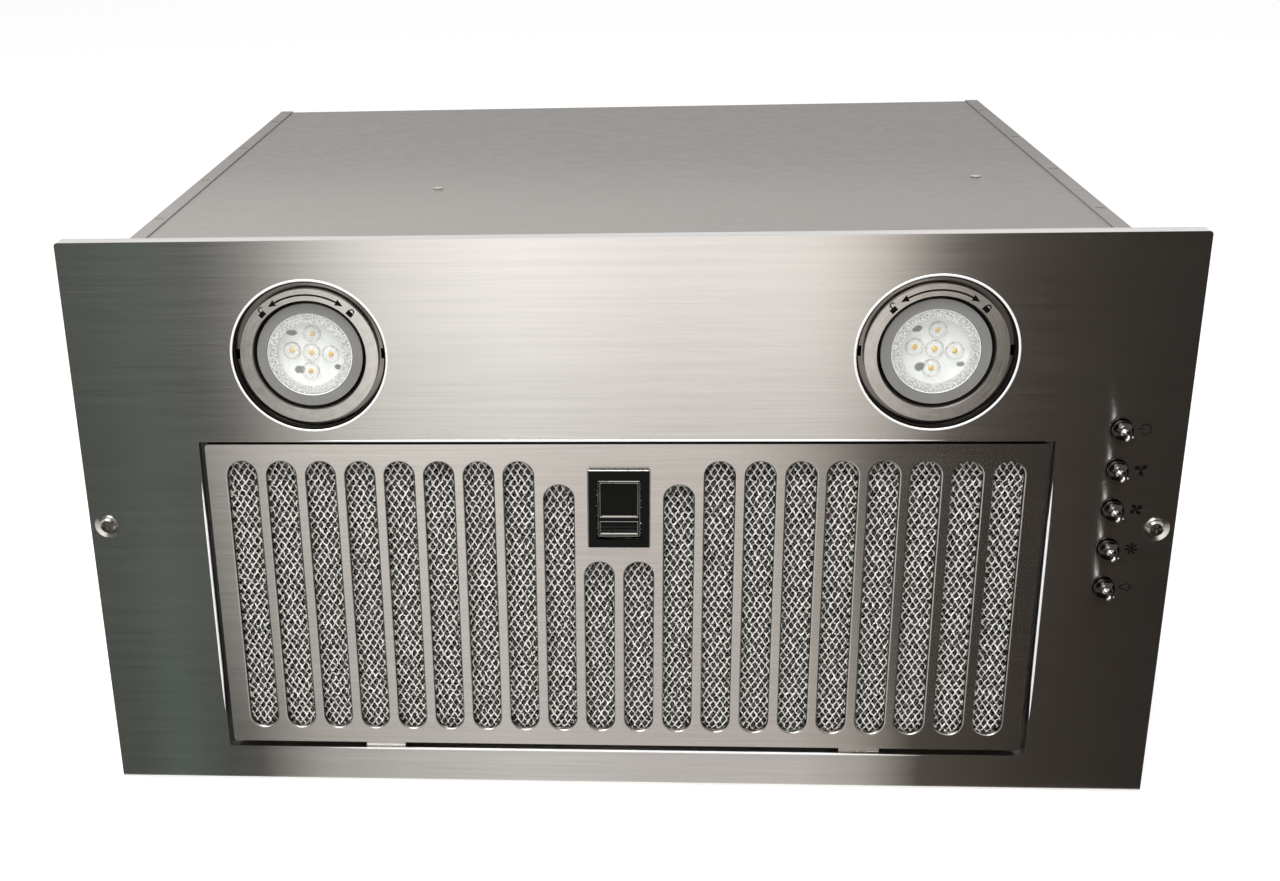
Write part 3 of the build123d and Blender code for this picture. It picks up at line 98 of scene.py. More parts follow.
class NodeSheet:
    """One material's or world's nodes."""

    def __init__(self, tree: bpy.types.NodeTree) -> None:
        """Wraps a node tree."""
        self.tree = tree

    def node(self, kind: str, settings: dict | None = None, inputs: dict | None = None,
             output: int | str = 0) -> Wire:
        """Adds a node.

        Args:
            kind: The node's type.
            settings: Its settings by name; "stops" fills a colour ramp with (place, colour) pairs.
            inputs: Its sockets by name or number, each a Wire or a value.
            output: The output that is returned.

        Returns:
            The chosen output.
        """
        made = self.tree.nodes.new(kind)
        for name, value in (settings or {}).items():
            if name == "stops":
                self._fill(made.color_ramp, value)
            else:
                setattr(made, name, value)
        for name, value in (inputs or {}).items():
            self.plug(made.inputs[name], value)
        return Wire(self, made.outputs[output])

    @staticmethod
    def _fill(ramp: bpy.types.ColorRamp, stops: Sequence[tuple[float, Colour]]) -> None:
        """Gives a colour ramp its stops."""
        while len(ramp.elements) < len(stops):
            ramp.elements.new(1.0)
        for element, (place, colour) in zip(ramp.elements, stops):
            element.position = place
            element.color = (*colour, 1.0)

    def plug(self, socket: bpy.types.NodeSocket, value: Any) -> None:
        """Links a Wire to a socket, or sets the socket's own value."""
        if isinstance(value, Wire):
            self.tree.links.new(value.socket, socket)
        elif isinstance(value, tuple) and socket.type == "RGBA":
            socket.default_value = (*value, 1.0)
        else:
            socket.default_value = value

    def place(self, centre: Sequence[float] = (0, 0, 0), scale: Sequence[float] = (1, 1, 1)) -> Wire:
        """Object coordinates, moved so that centre is their zero and then scaled."""
        source = self.node("ShaderNodeTexCoord", output="Object")
        moved = tuple(-c * s for c, s in zip(centre, scale))
        return self.node("ShaderNodeMapping", {}, {"Vector": source, "Location": moved,
                                                   "Scale": tuple(scale)})

    def noise(self, scale: float | Sequence[float], detail: float = 2.0, rough: float = 0.5) -> Wire:
        """Soft noise from 0 to 1 whose cells are 1 / scale long; a scale may be given for each axis."""
        scales = (scale,) * 3 if isinstance(scale, float) else scale
        return self.node("ShaderNodeTexNoise", {}, {"Vector": self.place(scale=scales), "Scale": 1.0,
                                                    "Detail": detail, "Roughness": rough}, "Fac")

    def cells(self, scale: float, feature: str = "F1", output: str = "Distance") -> Wire:
        """Voronoi cells of 1 / scale."""
        return self.node("ShaderNodeTexVoronoi", {"feature": feature},
                         {"Vector": self.place(), "Scale": scale}, output)

    def axes(self, place: Wire) -> tuple[Wire, Wire, Wire]:
        """X, Y and Z of a vector."""
        split = self.node("ShaderNodeSeparateXYZ", {}, {0: place})
        node = split.socket.node
        return tuple(Wire(self, node.outputs[index]) for index in range(3))

    def ramp(self, value: Wire, stops: Sequence[tuple[float, Colour]]) -> Wire:
        """A colour that follows a value through (place, colour) stops."""
        return self.node("ShaderNodeValToRGB", {"stops": stops}, {"Fac": value}, "Color")

    def step(self, value: Wire, low: float, high: float) -> Wire:
        """0 below low, 1 above high and a smooth step between them; low may be the larger."""
        return self.node("ShaderNodeMapRange", {"interpolation_type": "SMOOTHSTEP"},
                         {"Value": value, "From Min": low, "From Max": high})

    def mix(self, share: Any, first: Any, second: Any) -> Wire:
        """Colour mix from first to second."""
        return self.node("ShaderNodeMix", {"data_type": "RGBA"}, {0: share, 6: first, 7: second}, 2)

    def bump(self, height: Wire, depth: float, strength: float = 1.0) -> Wire:
        """A normal from a height of 0 to 1 times depth."""
        return self.node("ShaderNodeBump", {}, {"Height": height, "Distance": depth, "Strength": strength})


class Surface(NodeSheet):
    """A material with one Principled shader."""

    def __init__(self, name: str, **numbers: Any) -> None:
        """Starts a material.

        Args:
            name: The material's name.
            numbers: Values that are the same all over, by socket name with _ for a space.
        """
        self.material = bpy.data.materials.new(name)
        self.material.use_nodes = True
        super().__init__(self.material.node_tree)
        self.shader = self.tree.nodes["Principled BSDF"]
        self.feed(**numbers)

    def feed(self, **values: Any) -> "Surface":
        """Sets or links the shader's sockets."""
        for name, value in values.items():
            self.plug(self.shader.inputs[name.replace("_", " ")], value)
        return self


def shade(colour: Colour, factor: float) -> Colour:
    """A colour made lighter or darker."""
    return tuple(min(1.0, channel * factor) for channel in colour)


# ---------------------------------------------------------------- finishes

class Grain(Enum):
    """Which way a sheet was brushed: noise cells per metre along X, Y and Z."""

    LEVEL = (18.0, 60.0, 1500.0)
    UPRIGHT = (1500.0, 60.0, 18.0)
    DEPTH = (1500.0, 14.0, 1500.0)


@dataclass(frozen=True)
class Finish:
    """A finish that knows how its surface is painted."""

    name: str

    def make(self) -> bpy.types.Material:
        """Builds the material.

        Returns:
            The material.
        """
        sheet = Surface(self.name)
        self.paint(sheet)
        return sheet.material

    def paint(self, sheet: Surface) -> None:
        """Sets and links the shader's sockets."""
        raise NotImplementedError


@dataclass(frozen=True)
class BrushedSteel(Finish):
    """Stainless sheet with a one-way brushed grain."""

    colour: Colour
    roughness: float = 0.21
    stretch: float = 0.93
    grain: Grain = Grain.LEVEL
    contrast: float = 0.055
    groove: float = 0.000012
    lean: float = 0.0
    wall: float = 0.0
    wall_fade: float = 0.25 * MM
    wall_shade_colour: Colour = (0.05, 0.043, 0.037)
    sill: float = 0.0
    sill_fade: float = 3 * MM
    fine_share: float = 0.6

    def paint(self, sheet: Surface) -> None:
        """Paints fine and broad streaks along the grain, and faint wiping marks.

        A lean tips the whole face a little about Z, as a sheet that sits loosely does. Where a wall depth
        is given, the turned-in walls deeper than that get painted shade, a dark colour, except below the
        height of the slots' sills, which are left light.
        """
        sheet.feed(Metallic=1.0, Anisotropic=self.stretch, Anisotropic_Rotation=0.25)
        fine = sheet.noise(self.grain.value, 3.0, 0.6)
        broad = sheet.noise([value / 5 for value in self.grain.value], 2.0)
        wiped = sheet.noise((9.0, 9.0, 14.0), 3.0)
        streak = fine * self.fine_share + broad * (1 - self.fine_share)
        colour = sheet.mix(sheet.step(streak, 0.3, 0.7), shade(self.colour, 1 - self.contrast),
                           shade(self.colour, 1 + self.contrast))
        rough = (fine - 0.5) * 0.08 + (wiped - 0.5) * 0.04 + self.roughness
        x, y, z = sheet.axes(sheet.place())
        # Painted shade: the slots' turned-in walls are darkened and the sills below them are left light.
        if self.wall:
            deep = sheet.step(y, self.wall, self.wall + self.wall_fade)
            above = sheet.step(z, self.sill, self.sill + self.sill_fade)
            colour = sheet.mix(deep * above, colour, self.wall_shade_colour)
        height = fine * self.groove * 0.5 + x * self.lean
        sheet.feed(Base_Color=colour, Roughness=rough, Normal=sheet.bump(height, 1.0))


@dataclass(frozen=True)
class TurnedSteel(Finish):
    """Brushed ring, its grain running round an axis along Y, with painted shade on the funnel inside it."""

    colour: Colour
    centre: tuple[float, float, float]
    inside: float
    roughness: float = 0.24
    funnel: Colour = (0.24, 0.225, 0.21)
    funnel_fade: float = 0.3 * MM
    ring_scale: float = 2600.0
    turn_scale: float = 2.2

    def paint(self, sheet: Surface) -> None:
        """Paints rings of noise by distance from the centre, broken up round the turn."""
        sheet.feed(Metallic=1.0)
        x, _, z = sheet.axes(sheet.place(self.centre))
        radius = (x * x + z * z) ** 0.5
        turn = z.fold("ARCTAN2", x)
        spot = sheet.node("ShaderNodeCombineXYZ", {}, {0: radius * self.ring_scale,
                                                          1: turn * self.turn_scale, 2: 0.0})
        rings = sheet.node("ShaderNodeTexNoise", {}, {"Vector": spot, "Scale": 1.0, "Detail": 2.0}, "Fac")
        cloud = sheet.noise(160.0, 3.0)
        colour = sheet.mix(sheet.step(rings * 0.5 + cloud * 0.5, 0.3, 0.72), shade(self.colour, 0.86),
                           shade(self.colour, 1.1))
        # Painted shade: inside the funnel's edge the steel takes the darker funnel colour.
        inner = sheet.step(radius, self.inside, self.inside - self.funnel_fade)
        colour = sheet.mix(inner, colour, self.funnel)
        sheet.feed(Base_Color=colour, Roughness=(rings - 0.5) * 0.12 + self.roughness,
                   Normal=sheet.bump(rings, 0.00001, 0.5))


@dataclass(frozen=True)
class DullSheet(Finish):
    """Matte zinc-coated sheet: soft clouds, a faint rolling grain and small scuffs."""

    colour: Colour
    roughness: float = 0.52
    metallic: float = 0.55
    spangle: float = 0.03
    grain: Grain = Grain.LEVEL
    fade: float = 0.0
    fade_start: float = -0.15
    fade_end: float = 0.05

    def paint(self, sheet: Surface) -> None:
        """Paints clouds, grain and scuffs; a fade is the share by which the colour darkens towards the rear,
        painted shade where less light falls.
        """
        clouds = sheet.noise(6.0, 4.0, 0.6)
        rolled = sheet.noise(self.grain.value, 2.0)
        cells = sheet.cells(150.0, output="Color")
        tone, _, _ = sheet.axes(cells)
        level = (clouds - 0.5) * 0.5 + (rolled - 0.5) * 0.25 + (tone - 0.5) * self.spangle * 5 + 0.5
        colour = sheet.mix(level, shade(self.colour, 0.87), shade(self.colour, 1.12))
        # Painted shade: the colour darkens towards the rear.
        if self.fade:
            _, y, _ = sheet.axes(sheet.place())
            colour = sheet.mix(sheet.step(y, self.fade_start, self.fade_end) * self.fade, colour, BLACK)
        scuffs = sheet.step(sheet.noise((90.0, 400.0, 90.0), 4.0, 0.7), 0.66, 0.74)
        sheet.feed(Base_Color=sheet.mix(scuffs * 0.25, colour, shade(self.colour, 1.3)),
                   Metallic=scuffs * 0.1 + self.metallic,
                   Roughness=(tone - 0.5) * self.spangle * 3 + (clouds - 0.5) * 0.12 + self.roughness,
                   Normal=sheet.bump(rolled, 0.00002, 0.4))


@dataclass(frozen=True)
class Polished(Finish):
    """Plated or polished metal with faint handling marks."""

    colour: Colour
    roughness: float = 0.08
    metallic: float = 1.0
    mottle: float = 0.0

    def paint(self, sheet: Surface) -> None:
        """Paints smudges; a mottle is the share by which the colour darkens in small random spots."""
        sheet.feed(Metallic=self.metallic)
        smudge = sheet.noise(220.0, 3.0)
        colour = sheet.mix(smudge, shade(self.colour, 0.93), shade(self.colour, 1.05))
        if self.mottle:
            spots = sheet.noise(1100.0, 2.0)
            colour = sheet.mix(sheet.step(spots, 0.5, 0.66) * self.mottle, colour, BLACK)
        sheet.feed(Base_Color=colour, Roughness=sheet.step(smudge, 0.45, 0.8) * 0.12 + self.roughness)


@dataclass(frozen=True)
class Moulded(Finish):
    """Plastic, rubber, paint or glaze: a base colour, a fine skin and a few dust specks."""

    colour: Colour
    roughness: float = 0.4
    skin: float = 0.00002
    cells: float = 900.0
    coat: float = 0.0
    dust: float = 0.12
    gloss: float = 0.5
    speck: Colour = (0.45, 0.44, 0.42)

    def paint(self, sheet: Surface) -> None:
        """Paints soft clouds and dust specks on a finely grained skin."""
        sheet.feed(Coat_Roughness=0.05, Coat_Weight=self.coat, Specular_IOR_Level=self.gloss)
        grain = sheet.noise(self.cells, 2.0)
        clouds = sheet.noise(70.0, 3.0)
        specks = sheet.step(sheet.noise(1300.0, 1.0), 0.74, 0.8)
        colour = sheet.mix(clouds, shade(self.colour, 0.85), shade(self.colour, 1.15))
        sheet.feed(Base_Color=sheet.mix(specks * self.dust, colour, self.speck),
                   Roughness=(clouds - 0.5) * 0.1 + specks * 0.2 + self.roughness,
                   Normal=sheet.bump(grain, self.skin, 0.5))


@dataclass(frozen=True)
class GlossBlackPaintedHighlights(Finish):
    """Glossy black plastic whose moulded edges carry painted highlights, bright metallic lines."""

    frames: tuple[tuple[float, float, float], ...]
    width: float = 0.26 * MM
    corner: float = 0.1 * MM
    plastic: Colour = (0.004, 0.004, 0.0035)
    highlight_colour: Colour = (0.85, 0.84, 0.8)

    def paint(self, sheet: Surface) -> None:
        """Paints highlights on the frames' edges.

        A frame is a rectangle about X = 0, given as half width, bottom and top. Its signed distance is
        d = max(|x| - w, |z - c| - h), and its edge is bright where |d| is small; top and bottom edges are
        brighter than the sides.
        """
        sheet.feed(Specular_IOR_Level=0.12)
        x, _, z = sheet.axes(sheet.place())
        breakup_noise = sheet.noise(260.0, 3.0)
        lines: Any = 0.0
        for half, low, high in self.frames:
            beyond = x.fold("ABSOLUTE") - half
            above = (z - (low + high) / 2).fold("ABSOLUTE") - (high - low) / 2
            away = beyond.fold("MAXIMUM", above).fold("ABSOLUTE")
            level = sheet.step(above - beyond, -self.corner, self.corner) * 0.75 + 0.25
            line = sheet.step(away, self.width, self.width * 0.4) * level
            lines = line.fold("MAXIMUM", lines)
        lines = lines * (sheet.step(breakup_noise, 0.25, 0.5) * 0.5 + 0.5)
        grain = sheet.noise(500.0, 2.0)
        # Painted highlight: the edge lines are bright and metallic, broken up by noise.
        sheet.feed(Base_Color=sheet.mix(lines, self.plastic, self.highlight_colour), Metallic=lines,
                   Roughness=breakup_noise * 0.06 + 0.08, Normal=sheet.bump(grain, 0.00001, 0.5))


@dataclass(frozen=True)
class ChromeWithPaintedReflection(Finish):
    """Chrome pin on a foot whose dark colour is a painted reflection of dark surroundings."""

    spot: tuple[float, float]
    pin: Colour = (0.97, 0.96, 0.95)
    foot: Colour = (0.06, 0.055, 0.05)
    pin_radius: float = 1.6 * MM
    foot_radius: float = 1.9 * MM

    def paint(self, sheet: Surface) -> None:
        """Goes from the pin's to the foot's colour between two distances r from the (x, z) of the spot; the
        foot's dark colour is a painted reflection.
        """
        sheet.feed(Metallic=1.0)
        x, _, z = sheet.axes(sheet.place())
        x0, z0 = self.spot
        away = ((x - x0) * (x - x0) + (z - z0) * (z - z0)) ** 0.5
        smudge = sheet.noise(220.0, 3.0)
        outer = sheet.step(away, self.pin_radius, self.foot_radius)
        sheet.feed(Base_Color=sheet.mix(outer, self.pin, self.foot),
                   Roughness=sheet.step(smudge, 0.45, 0.8) * 0.1 + 0.05)


@dataclass(frozen=True)
class Laminated(Finish):
    """Stacked steel laminations along X."""

    colour: Colour
    pitch: float = 0.0006

    def paint(self, sheet: Surface) -> None:
        """Darkens the joints between laminations by a sine of X."""
        sheet.feed(Metallic=0.8)
        x, _, _ = sheet.axes(sheet.place())
        joint = sheet.step((x * (2 * pi / self.pitch)).fold("SINE"), -1.0, -0.2)
        sheet.feed(Base_Color=sheet.mix(joint, shade(self.colour, 0.45), self.colour),
                   Roughness=0.55 - joint * 0.15, Normal=sheet.bump(joint, 0.00005, 0.6))


@dataclass(frozen=True)
class FrostedLens(Finish):
    """Clear front disc whose outer band is frosted."""

    centre: tuple[float, float, float]
    band: float = 0.0152
    band_fade: float = 0.0006
    shadow: Colour = (0.42, 0.43, 0.41)
    bead: Colour = (0.92, 0.92, 0.88)

    def paint(self, sheet: Surface) -> None:
        """Steps alpha and roughness up past the band's radius."""
        sheet.feed(IOR=1.5)
        x, _, z = sheet.axes(sheet.place(self.centre))
        radius = (x * x + z * z) ** 0.5
        frost = sheet.step(radius, self.band, self.band + self.band_fade)
        crumbs = sheet.noise(1700.0, 4.0, 0.7)
        beads = sheet.step(crumbs, 0.35, 0.65)
        colour = sheet.mix(beads, self.shadow, self.bead)
        alpha = frost * (beads * 0.4 + 0.45) + 0.02
        sheet.feed(Base_Color=colour, Roughness=frost * 0.35 + 0.05, Alpha=alpha,
                   Normal=sheet.bump(crumbs * frost, 0.0003, 0.7))


@dataclass(frozen=True)
class LampTray(Finish):
    """White reflector tray behind the lens, with a few grey component patches and a faint painted glow."""

    centre: tuple[float, float, float]
    spots: tuple[tuple[float, float, float, float], ...] = (
        (-0.0086, 0.0098, 0.0030, 0.0017), (-0.0062, -0.0085, 0.0028, 0.0022),
        (0.0122, -0.0072, 0.0018, 0.0014))
    patch: Colour = (0.16, 0.17, 0.16)
    dim: Colour = (0.74, 0.76, 0.73)
    bright: Colour = (0.95, 0.97, 0.94)

    def paint(self, sheet: Surface) -> None:
        """Paints each patch as a soft ellipse (x, z, half width, half height)."""
        sheet.feed(Metallic=0.0)
        x, _, z = sheet.axes(sheet.place(self.centre))
        cloud = sheet.noise(330.0, 3.0)
        marks: Any = 0.0
        for left, up, wide, high in self.spots:
            away = (((x - left) / wide) ** 2.0 + ((z - up) / high) ** 2.0) + (cloud - 0.5) * 1.4
            marks = sheet.step(away, 1.1, 0.5) + marks
        tray = sheet.mix(cloud, self.dim, self.bright)
        sheet.feed(Base_Color=sheet.mix(marks.fold("MINIMUM", 1.0), tray, self.patch),
                   # Painted glow: the tray emits its own colour faintly, though it is no lamp.
                   Roughness=cloud * 0.2 + 0.15, Emission_Color=tray, Emission_Strength=0.12)


@dataclass(frozen=True)
class Finishes:
    """Every finish of the insert that isn't tied to a place."""

    panel: BrushedSteel = BrushedSteel("panel_steel", (0.66, 0.645, 0.625))
    filter: BrushedSteel = BrushedSteel("filter_steel", (0.6, 0.575, 0.545), 0.25, lean=-0.05)
    # The body sheet's fade is painted shade that darkens it towards the rear.
    body: DullSheet = DullSheet("body_sheet", (0.222, 0.207, 0.194), 0.55, 0.2, fade=0.2)
    inner: DullSheet = DullSheet("inner_sheet", (0.46, 0.46, 0.45), 0.36, 0.85, 0.05)
    duct: DullSheet = DullSheet("duct_sheet", (0.5, 0.5, 0.49), 0.32, 0.9, 0.07)
    wheel: DullSheet = DullSheet("wheel_sheet", (0.5, 0.5, 0.5), 0.34, 0.9, 0.05)
    wire: Polished = Polished("mesh_wire", (1.0, 0.97, 0.92), 0.16, 0.1, 0.62)
    # The deeper layer of wire is a darkened copy of the front wire: painted shade.
    deep_wire_painted_shade: Polished = Polished("mesh_deep_wire", (0.2, 0.185, 0.165), 0.3, 0.5, 0.6)
    screw: Polished = Polished("screw_steel", (0.42, 0.4, 0.37), 0.2)
    rivet: Polished = Polished("rivet_steel", (0.5, 0.48, 0.45), 0.3)
    spring: Polished = Polished("spring_steel", (0.5, 0.5, 0.5), 0.22)
    # A bright, nearly white finish for painted highlights on edges.
    rim: Polished = Polished("painted_highlight_edge", (0.97, 0.96, 0.94), 0.3, 0.05)
    capacitor: Polished = Polished("capacitor_can", (0.72, 0.72, 0.73), 0.25)
    ink: Moulded = Moulded("black_ink", (0.004, 0.004, 0.004), 0.6, 0.00001, 900.0, 0.0, 0.0, 0.05)
    lamp: Moulded = Moulded("lamp_grey", (0.23, 0.225, 0.215), 0.42, 0.00001)
    ceramic: Moulded = Moulded("ceramic", (0.8, 0.78, 0.72), 0.2, 0.00003, 300.0, 0.5)
    black: Moulded = Moulded("black_plastic", (0.02, 0.02, 0.02), 0.45, 0.00004)
    white: Moulded = Moulded("white_plastic", (0.72, 0.71, 0.68), 0.4)
    rubber: Moulded = Moulded("rubber", (0.02, 0.02, 0.02), 0.7, 0.00006)
    # A near-black finish for lines of painted shade in gaps and grooves.
    groove: Moulded = Moulded("painted_shade_line", (0.012, 0.01, 0.009), 0.5, 0.00001, 900.0, 0.0, 0.0, 0.1)
    motor: Moulded = Moulded("motor_paint", (0.03, 0.03, 0.032), 0.3, 0.00005, 700.0, 0.3)
    core: Laminated = Laminated("core_steel", (0.3, 0.29, 0.28))


# ---------------------------------------------------------------- shapes

def mesh_piece(name: str, points: np.ndarray, quads: np.ndarray, material: bpy.types.Material,
               smooth: bool = True) -> bpy.types.Object:
    """Puts a quad mesh into the scene.

    Args:
        name: The piece's name.
        points: Vertices, shape (n, 3), in metres in the frame's axes.
        quads: Vertex numbers, shape (m, 4).
        material: The piece's material.
        smooth: Whether its faces are shaded smooth.

    Returns:
        The object, at the origin.
    """
    mesh = bpy.data.meshes.new(name)
    mesh.vertices.add(len(points))
    mesh.vertices.foreach_set("co", points.astype(np.float32).ravel())
    mesh.loops.add(quads.size)
    mesh.loops.foreach_set("vertex_index", quads.astype(np.int32).ravel())
    mesh.polygons.add(len(quads))
    mesh.polygons.foreach_set("loop_start", np.arange(0, quads.size, 4, dtype=np.int32))
    mesh.polygons.foreach_set("use_smooth", np.full(len(quads), smooth))
    mesh.update(calc_edges=True)
    mesh.validate()
    mesh.materials.append(material)
    piece = bpy.data.objects.new(name, mesh)
    bpy.context.scene.collection.objects.link(piece)
    return piece


def grid_quads(rows: int, columns: int, wrap: bool = False) -> np.ndarray:
    """Faces of a grid of rows by columns, numbered row by row.

    Args:
        rows: Points along the first parameter.
        columns: Points along the second parameter.
        wrap: Whether the last column joins the first.

    Returns:
        Vertex numbers, shape (faces, 4).
    """
    row = np.arange(rows - 1)[:, None] * columns
    column = np.arange(columns if wrap else columns - 1)[None, :]
    after = (column + 1) % columns
    corners = (row + column, row + after, row + columns + after, row + columns + column)
    return np.stack(np.broadcast_arrays(*corners), -1).reshape(-1, 4)


def stacked(parts: Iterable[tuple[np.ndarray, np.ndarray]]) -> tuple[np.ndarray, np.ndarray]:
    """Several point and quad arrays as one pair."""
    points, quads, count = [], [], 0
    for part_points, part_quads in parts:
        points.append(part_points)
        quads.append(part_quads + count)
        count += len(part_points)
    return np.concatenate(points), np.concatenate(quads)


def turned(profile: np.ndarray, x: float, z: float, steps: int = 96) -> tuple[np.ndarray, np.ndarray]:
    """A turned surface: point = (x + r cos a, y, z + r sin a) for each (r, y) of the profile.

    Args:
        profile: The (radius, y) points, shape (n, 2), from the axis or inner edge outwards.
        x: The axis' X.
        z: The axis' Z.
        steps: Points round the turn.

    Returns:
        Points and quads.
    """
    angle = np.linspace(0, 2 * pi, steps, endpoint=False)
    radius, y = profile[:, 0][:, None], profile[:, 1][:, None]
    grid = np.stack([x + radius * np.cos(angle), np.broadcast_to(y, (len(profile), steps)),
                     z + radius * np.sin(angle)], -1)
    return grid.reshape(-1, 3), grid_quads(len(profile), steps, True)


def torus(middle: tuple[float, float], radius: float, y: float, thick: tuple[float, float], steps: int,
          sides: int = 12) -> tuple[np.ndarray, np.ndarray]:
    """A closed ring round an axis along Y: r = R + a cos t and y = y0 + b sin t.

    Args:
        middle: The axis' (x, z).
        radius: R.
        y: Its middle's Y, y0.
        thick: a and b.
        steps: Points round the axis.
        sides: Points round the section.

    Returns:
        Points and quads.
    """
    turn = np.linspace(0, 2 * pi, sides + 1)
    profile = np.stack([radius + thick[0] * np.cos(turn), y + thick[1] * np.sin(turn)], -1)
    return turned(profile, *middle, steps)


def tubes(paths: np.ndarray, radius: float, sides: int, flat: float = 1.0,
          roll: np.ndarray | float = 0.0) -> tuple[np.ndarray, np.ndarray]:
    """Wires along paths: point = path + radius (cos a n + f sin a b), with n and b square to the path.

    Args:
        paths: Shape (wires, steps, 3).
        radius: The wire's radius, or half its width where it is flattened.
        sides: Sides of its section.
        flat: The share f of its width that its thickness has.
        roll: How far n and b are turned about the path, in radians, for each wire and step.

    Returns:
        Points and quads; the ends are drawn in to close them.
    """
    along = np.gradient(paths, axis=1)
    along /= np.linalg.norm(along, axis=-1, keepdims=True)
    side = np.cross(along, (0.0, 1.0, 0.0))
    side /= np.linalg.norm(side, axis=-1, keepdims=True) + 1e-12
    other = np.cross(along, side)
    roll = np.broadcast_to(roll, paths.shape[:2])[..., None]
    side, other = side * np.cos(roll) + other * np.sin(roll), other * np.cos(roll) - side * np.sin(roll)
    angle = np.linspace(0, 2 * pi, sides, endpoint=False)
    width = np.full(paths.shape[1], radius)
    width[[0, -1]] = radius * 0.02
    wide = np.cos(angle)[None, None, :, None]
    deep = flat * np.sin(angle)[None, None, :, None]
    ring = side[:, :, None] * wide + other[:, :, None] * deep
    grid = paths[:, :, None] + ring * width[None, :, None, None]
    wires, steps = paths.shape[:2]
    quads = grid_quads(steps, sides, True)
    every = quads[None] + (np.arange(wires) * steps * sides)[:, None, None]
    return grid.reshape(-1, 3), every.reshape(-1, 4)


def flat_patch(first: np.ndarray, second: np.ndarray, y: float) -> tuple[np.ndarray, np.ndarray]:
    """A flat patch ruled between two lines of (x, z) points, at one Y."""
    grid = np.stack([first, second])
    points = np.stack([grid[..., 0], np.full(grid.shape[:2], y), grid[..., 1]], -1)
    return points.reshape(-1, 3), grid_quads(2, len(first))


def arc_band(centre: Sequence[float], radius: float, width: float, start: float, end: float, y: float,
             steps: int = 48) -> tuple[np.ndarray, np.ndarray]:
    """A flat band along an arc: (x, z) = centre + r (cos a, sin a), r from inner to outer edge."""
    angle = np.linspace(start, end, steps)
    ray = np.stack([np.cos(angle), np.sin(angle)], -1)
    middle = np.asarray(centre)
    return flat_patch(middle + ray * (radius - width / 2), middle + ray * (radius + width / 2), y)


def bar(start: Sequence[float], end: Sequence[float], width: float,
        y: float) -> tuple[np.ndarray, np.ndarray]:
    """A flat straight bar from one (x, z) point to another."""
    low, high = np.asarray(start, float), np.asarray(end, float)
    run = (high - low) / np.linalg.norm(high - low)
    across = np.array([-run[1], run[0]]) * width / 2
    line = np.stack([low, high])
    return flat_patch(line - across, line + across, y)


def leaf(centre: Sequence[float], start: float, end: float, width: float, turn: float,
         y: float) -> tuple[np.ndarray, np.ndarray]:
    """A fan blade: its half width is w sin(pi s) ** 0.7 (0.4 + 0.6 s), with s from 0 at the hub to 1 at
    the tip, and it bends by 0.35 s radians.
    """
    share = np.linspace(0.0, 1.0, 10)
    reach = start + (end - start) * share
    half = width * np.sin(pi * np.clip(share, 0.02, 0.98)) ** 0.7 * (0.4 + 0.6 * share)
    bend = turn + 0.35 * share
    middle = np.asarray(centre) + np.stack([reach * np.cos(bend), reach * np.sin(bend)], -1)
    across = np.stack([-np.sin(bend), np.cos(bend)], -1) * half[:, None]
    return flat_patch(middle - across, middle + across, y)


# ---------------------------------------------------------------- sub-assemblies

def middle_of(name: str) -> tuple[float, float]:
    """X and Z of the middle of a node's box."""
    low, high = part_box(name)
    return ((low.x + high.x) / 2, (low.z + high.z) / 2)


@dataclass
class Part:
    """A sub-assembly that dresses nodes and adds pieces to them."""

    finishes: Finishes

    def dress(self, names: Iterable[str], material: bpy.types.Material) -> None:
        """Gives CAD nodes one material.

        Args:
            names: The nodes' names.
            material: The material.
        """
        for name in names:
            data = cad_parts[name].data
            data.materials.clear()
            data.materials.append(material)
            log.info("dressed %s with %s", name, material.name)

    def add(self, name: str, shape: tuple[np.ndarray, np.ndarray], material: bpy.types.Material, body: str,
            slot: str, replaced: Sequence[str] = (), depth: float = 0.0, smooth: bool = True) -> None:
        """Makes a piece, hangs it on a body and hides the CAD nodes that it stands for.

        Args:
            name: The piece's name.
            shape: Its points and quads.
            material: Its material.
            body: The body that it moves with.
            slot: Not used.
            replaced: CAD nodes that it stands for.
            depth: Thickness of a flat piece, half of it to each side.
            smooth: Whether its faces are shaded smooth.
        """
        piece = mesh_piece(name, *shape, material, smooth)
        if depth:
            plate = piece.modifiers.new("plate", "SOLIDIFY")
            plate.thickness = depth
            plate.offset = 0.0
        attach(piece, body)
        if replaced:
            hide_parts(*replaced)
        log.info("made %s: %d faces", piece.name, len(piece.data.polygons))


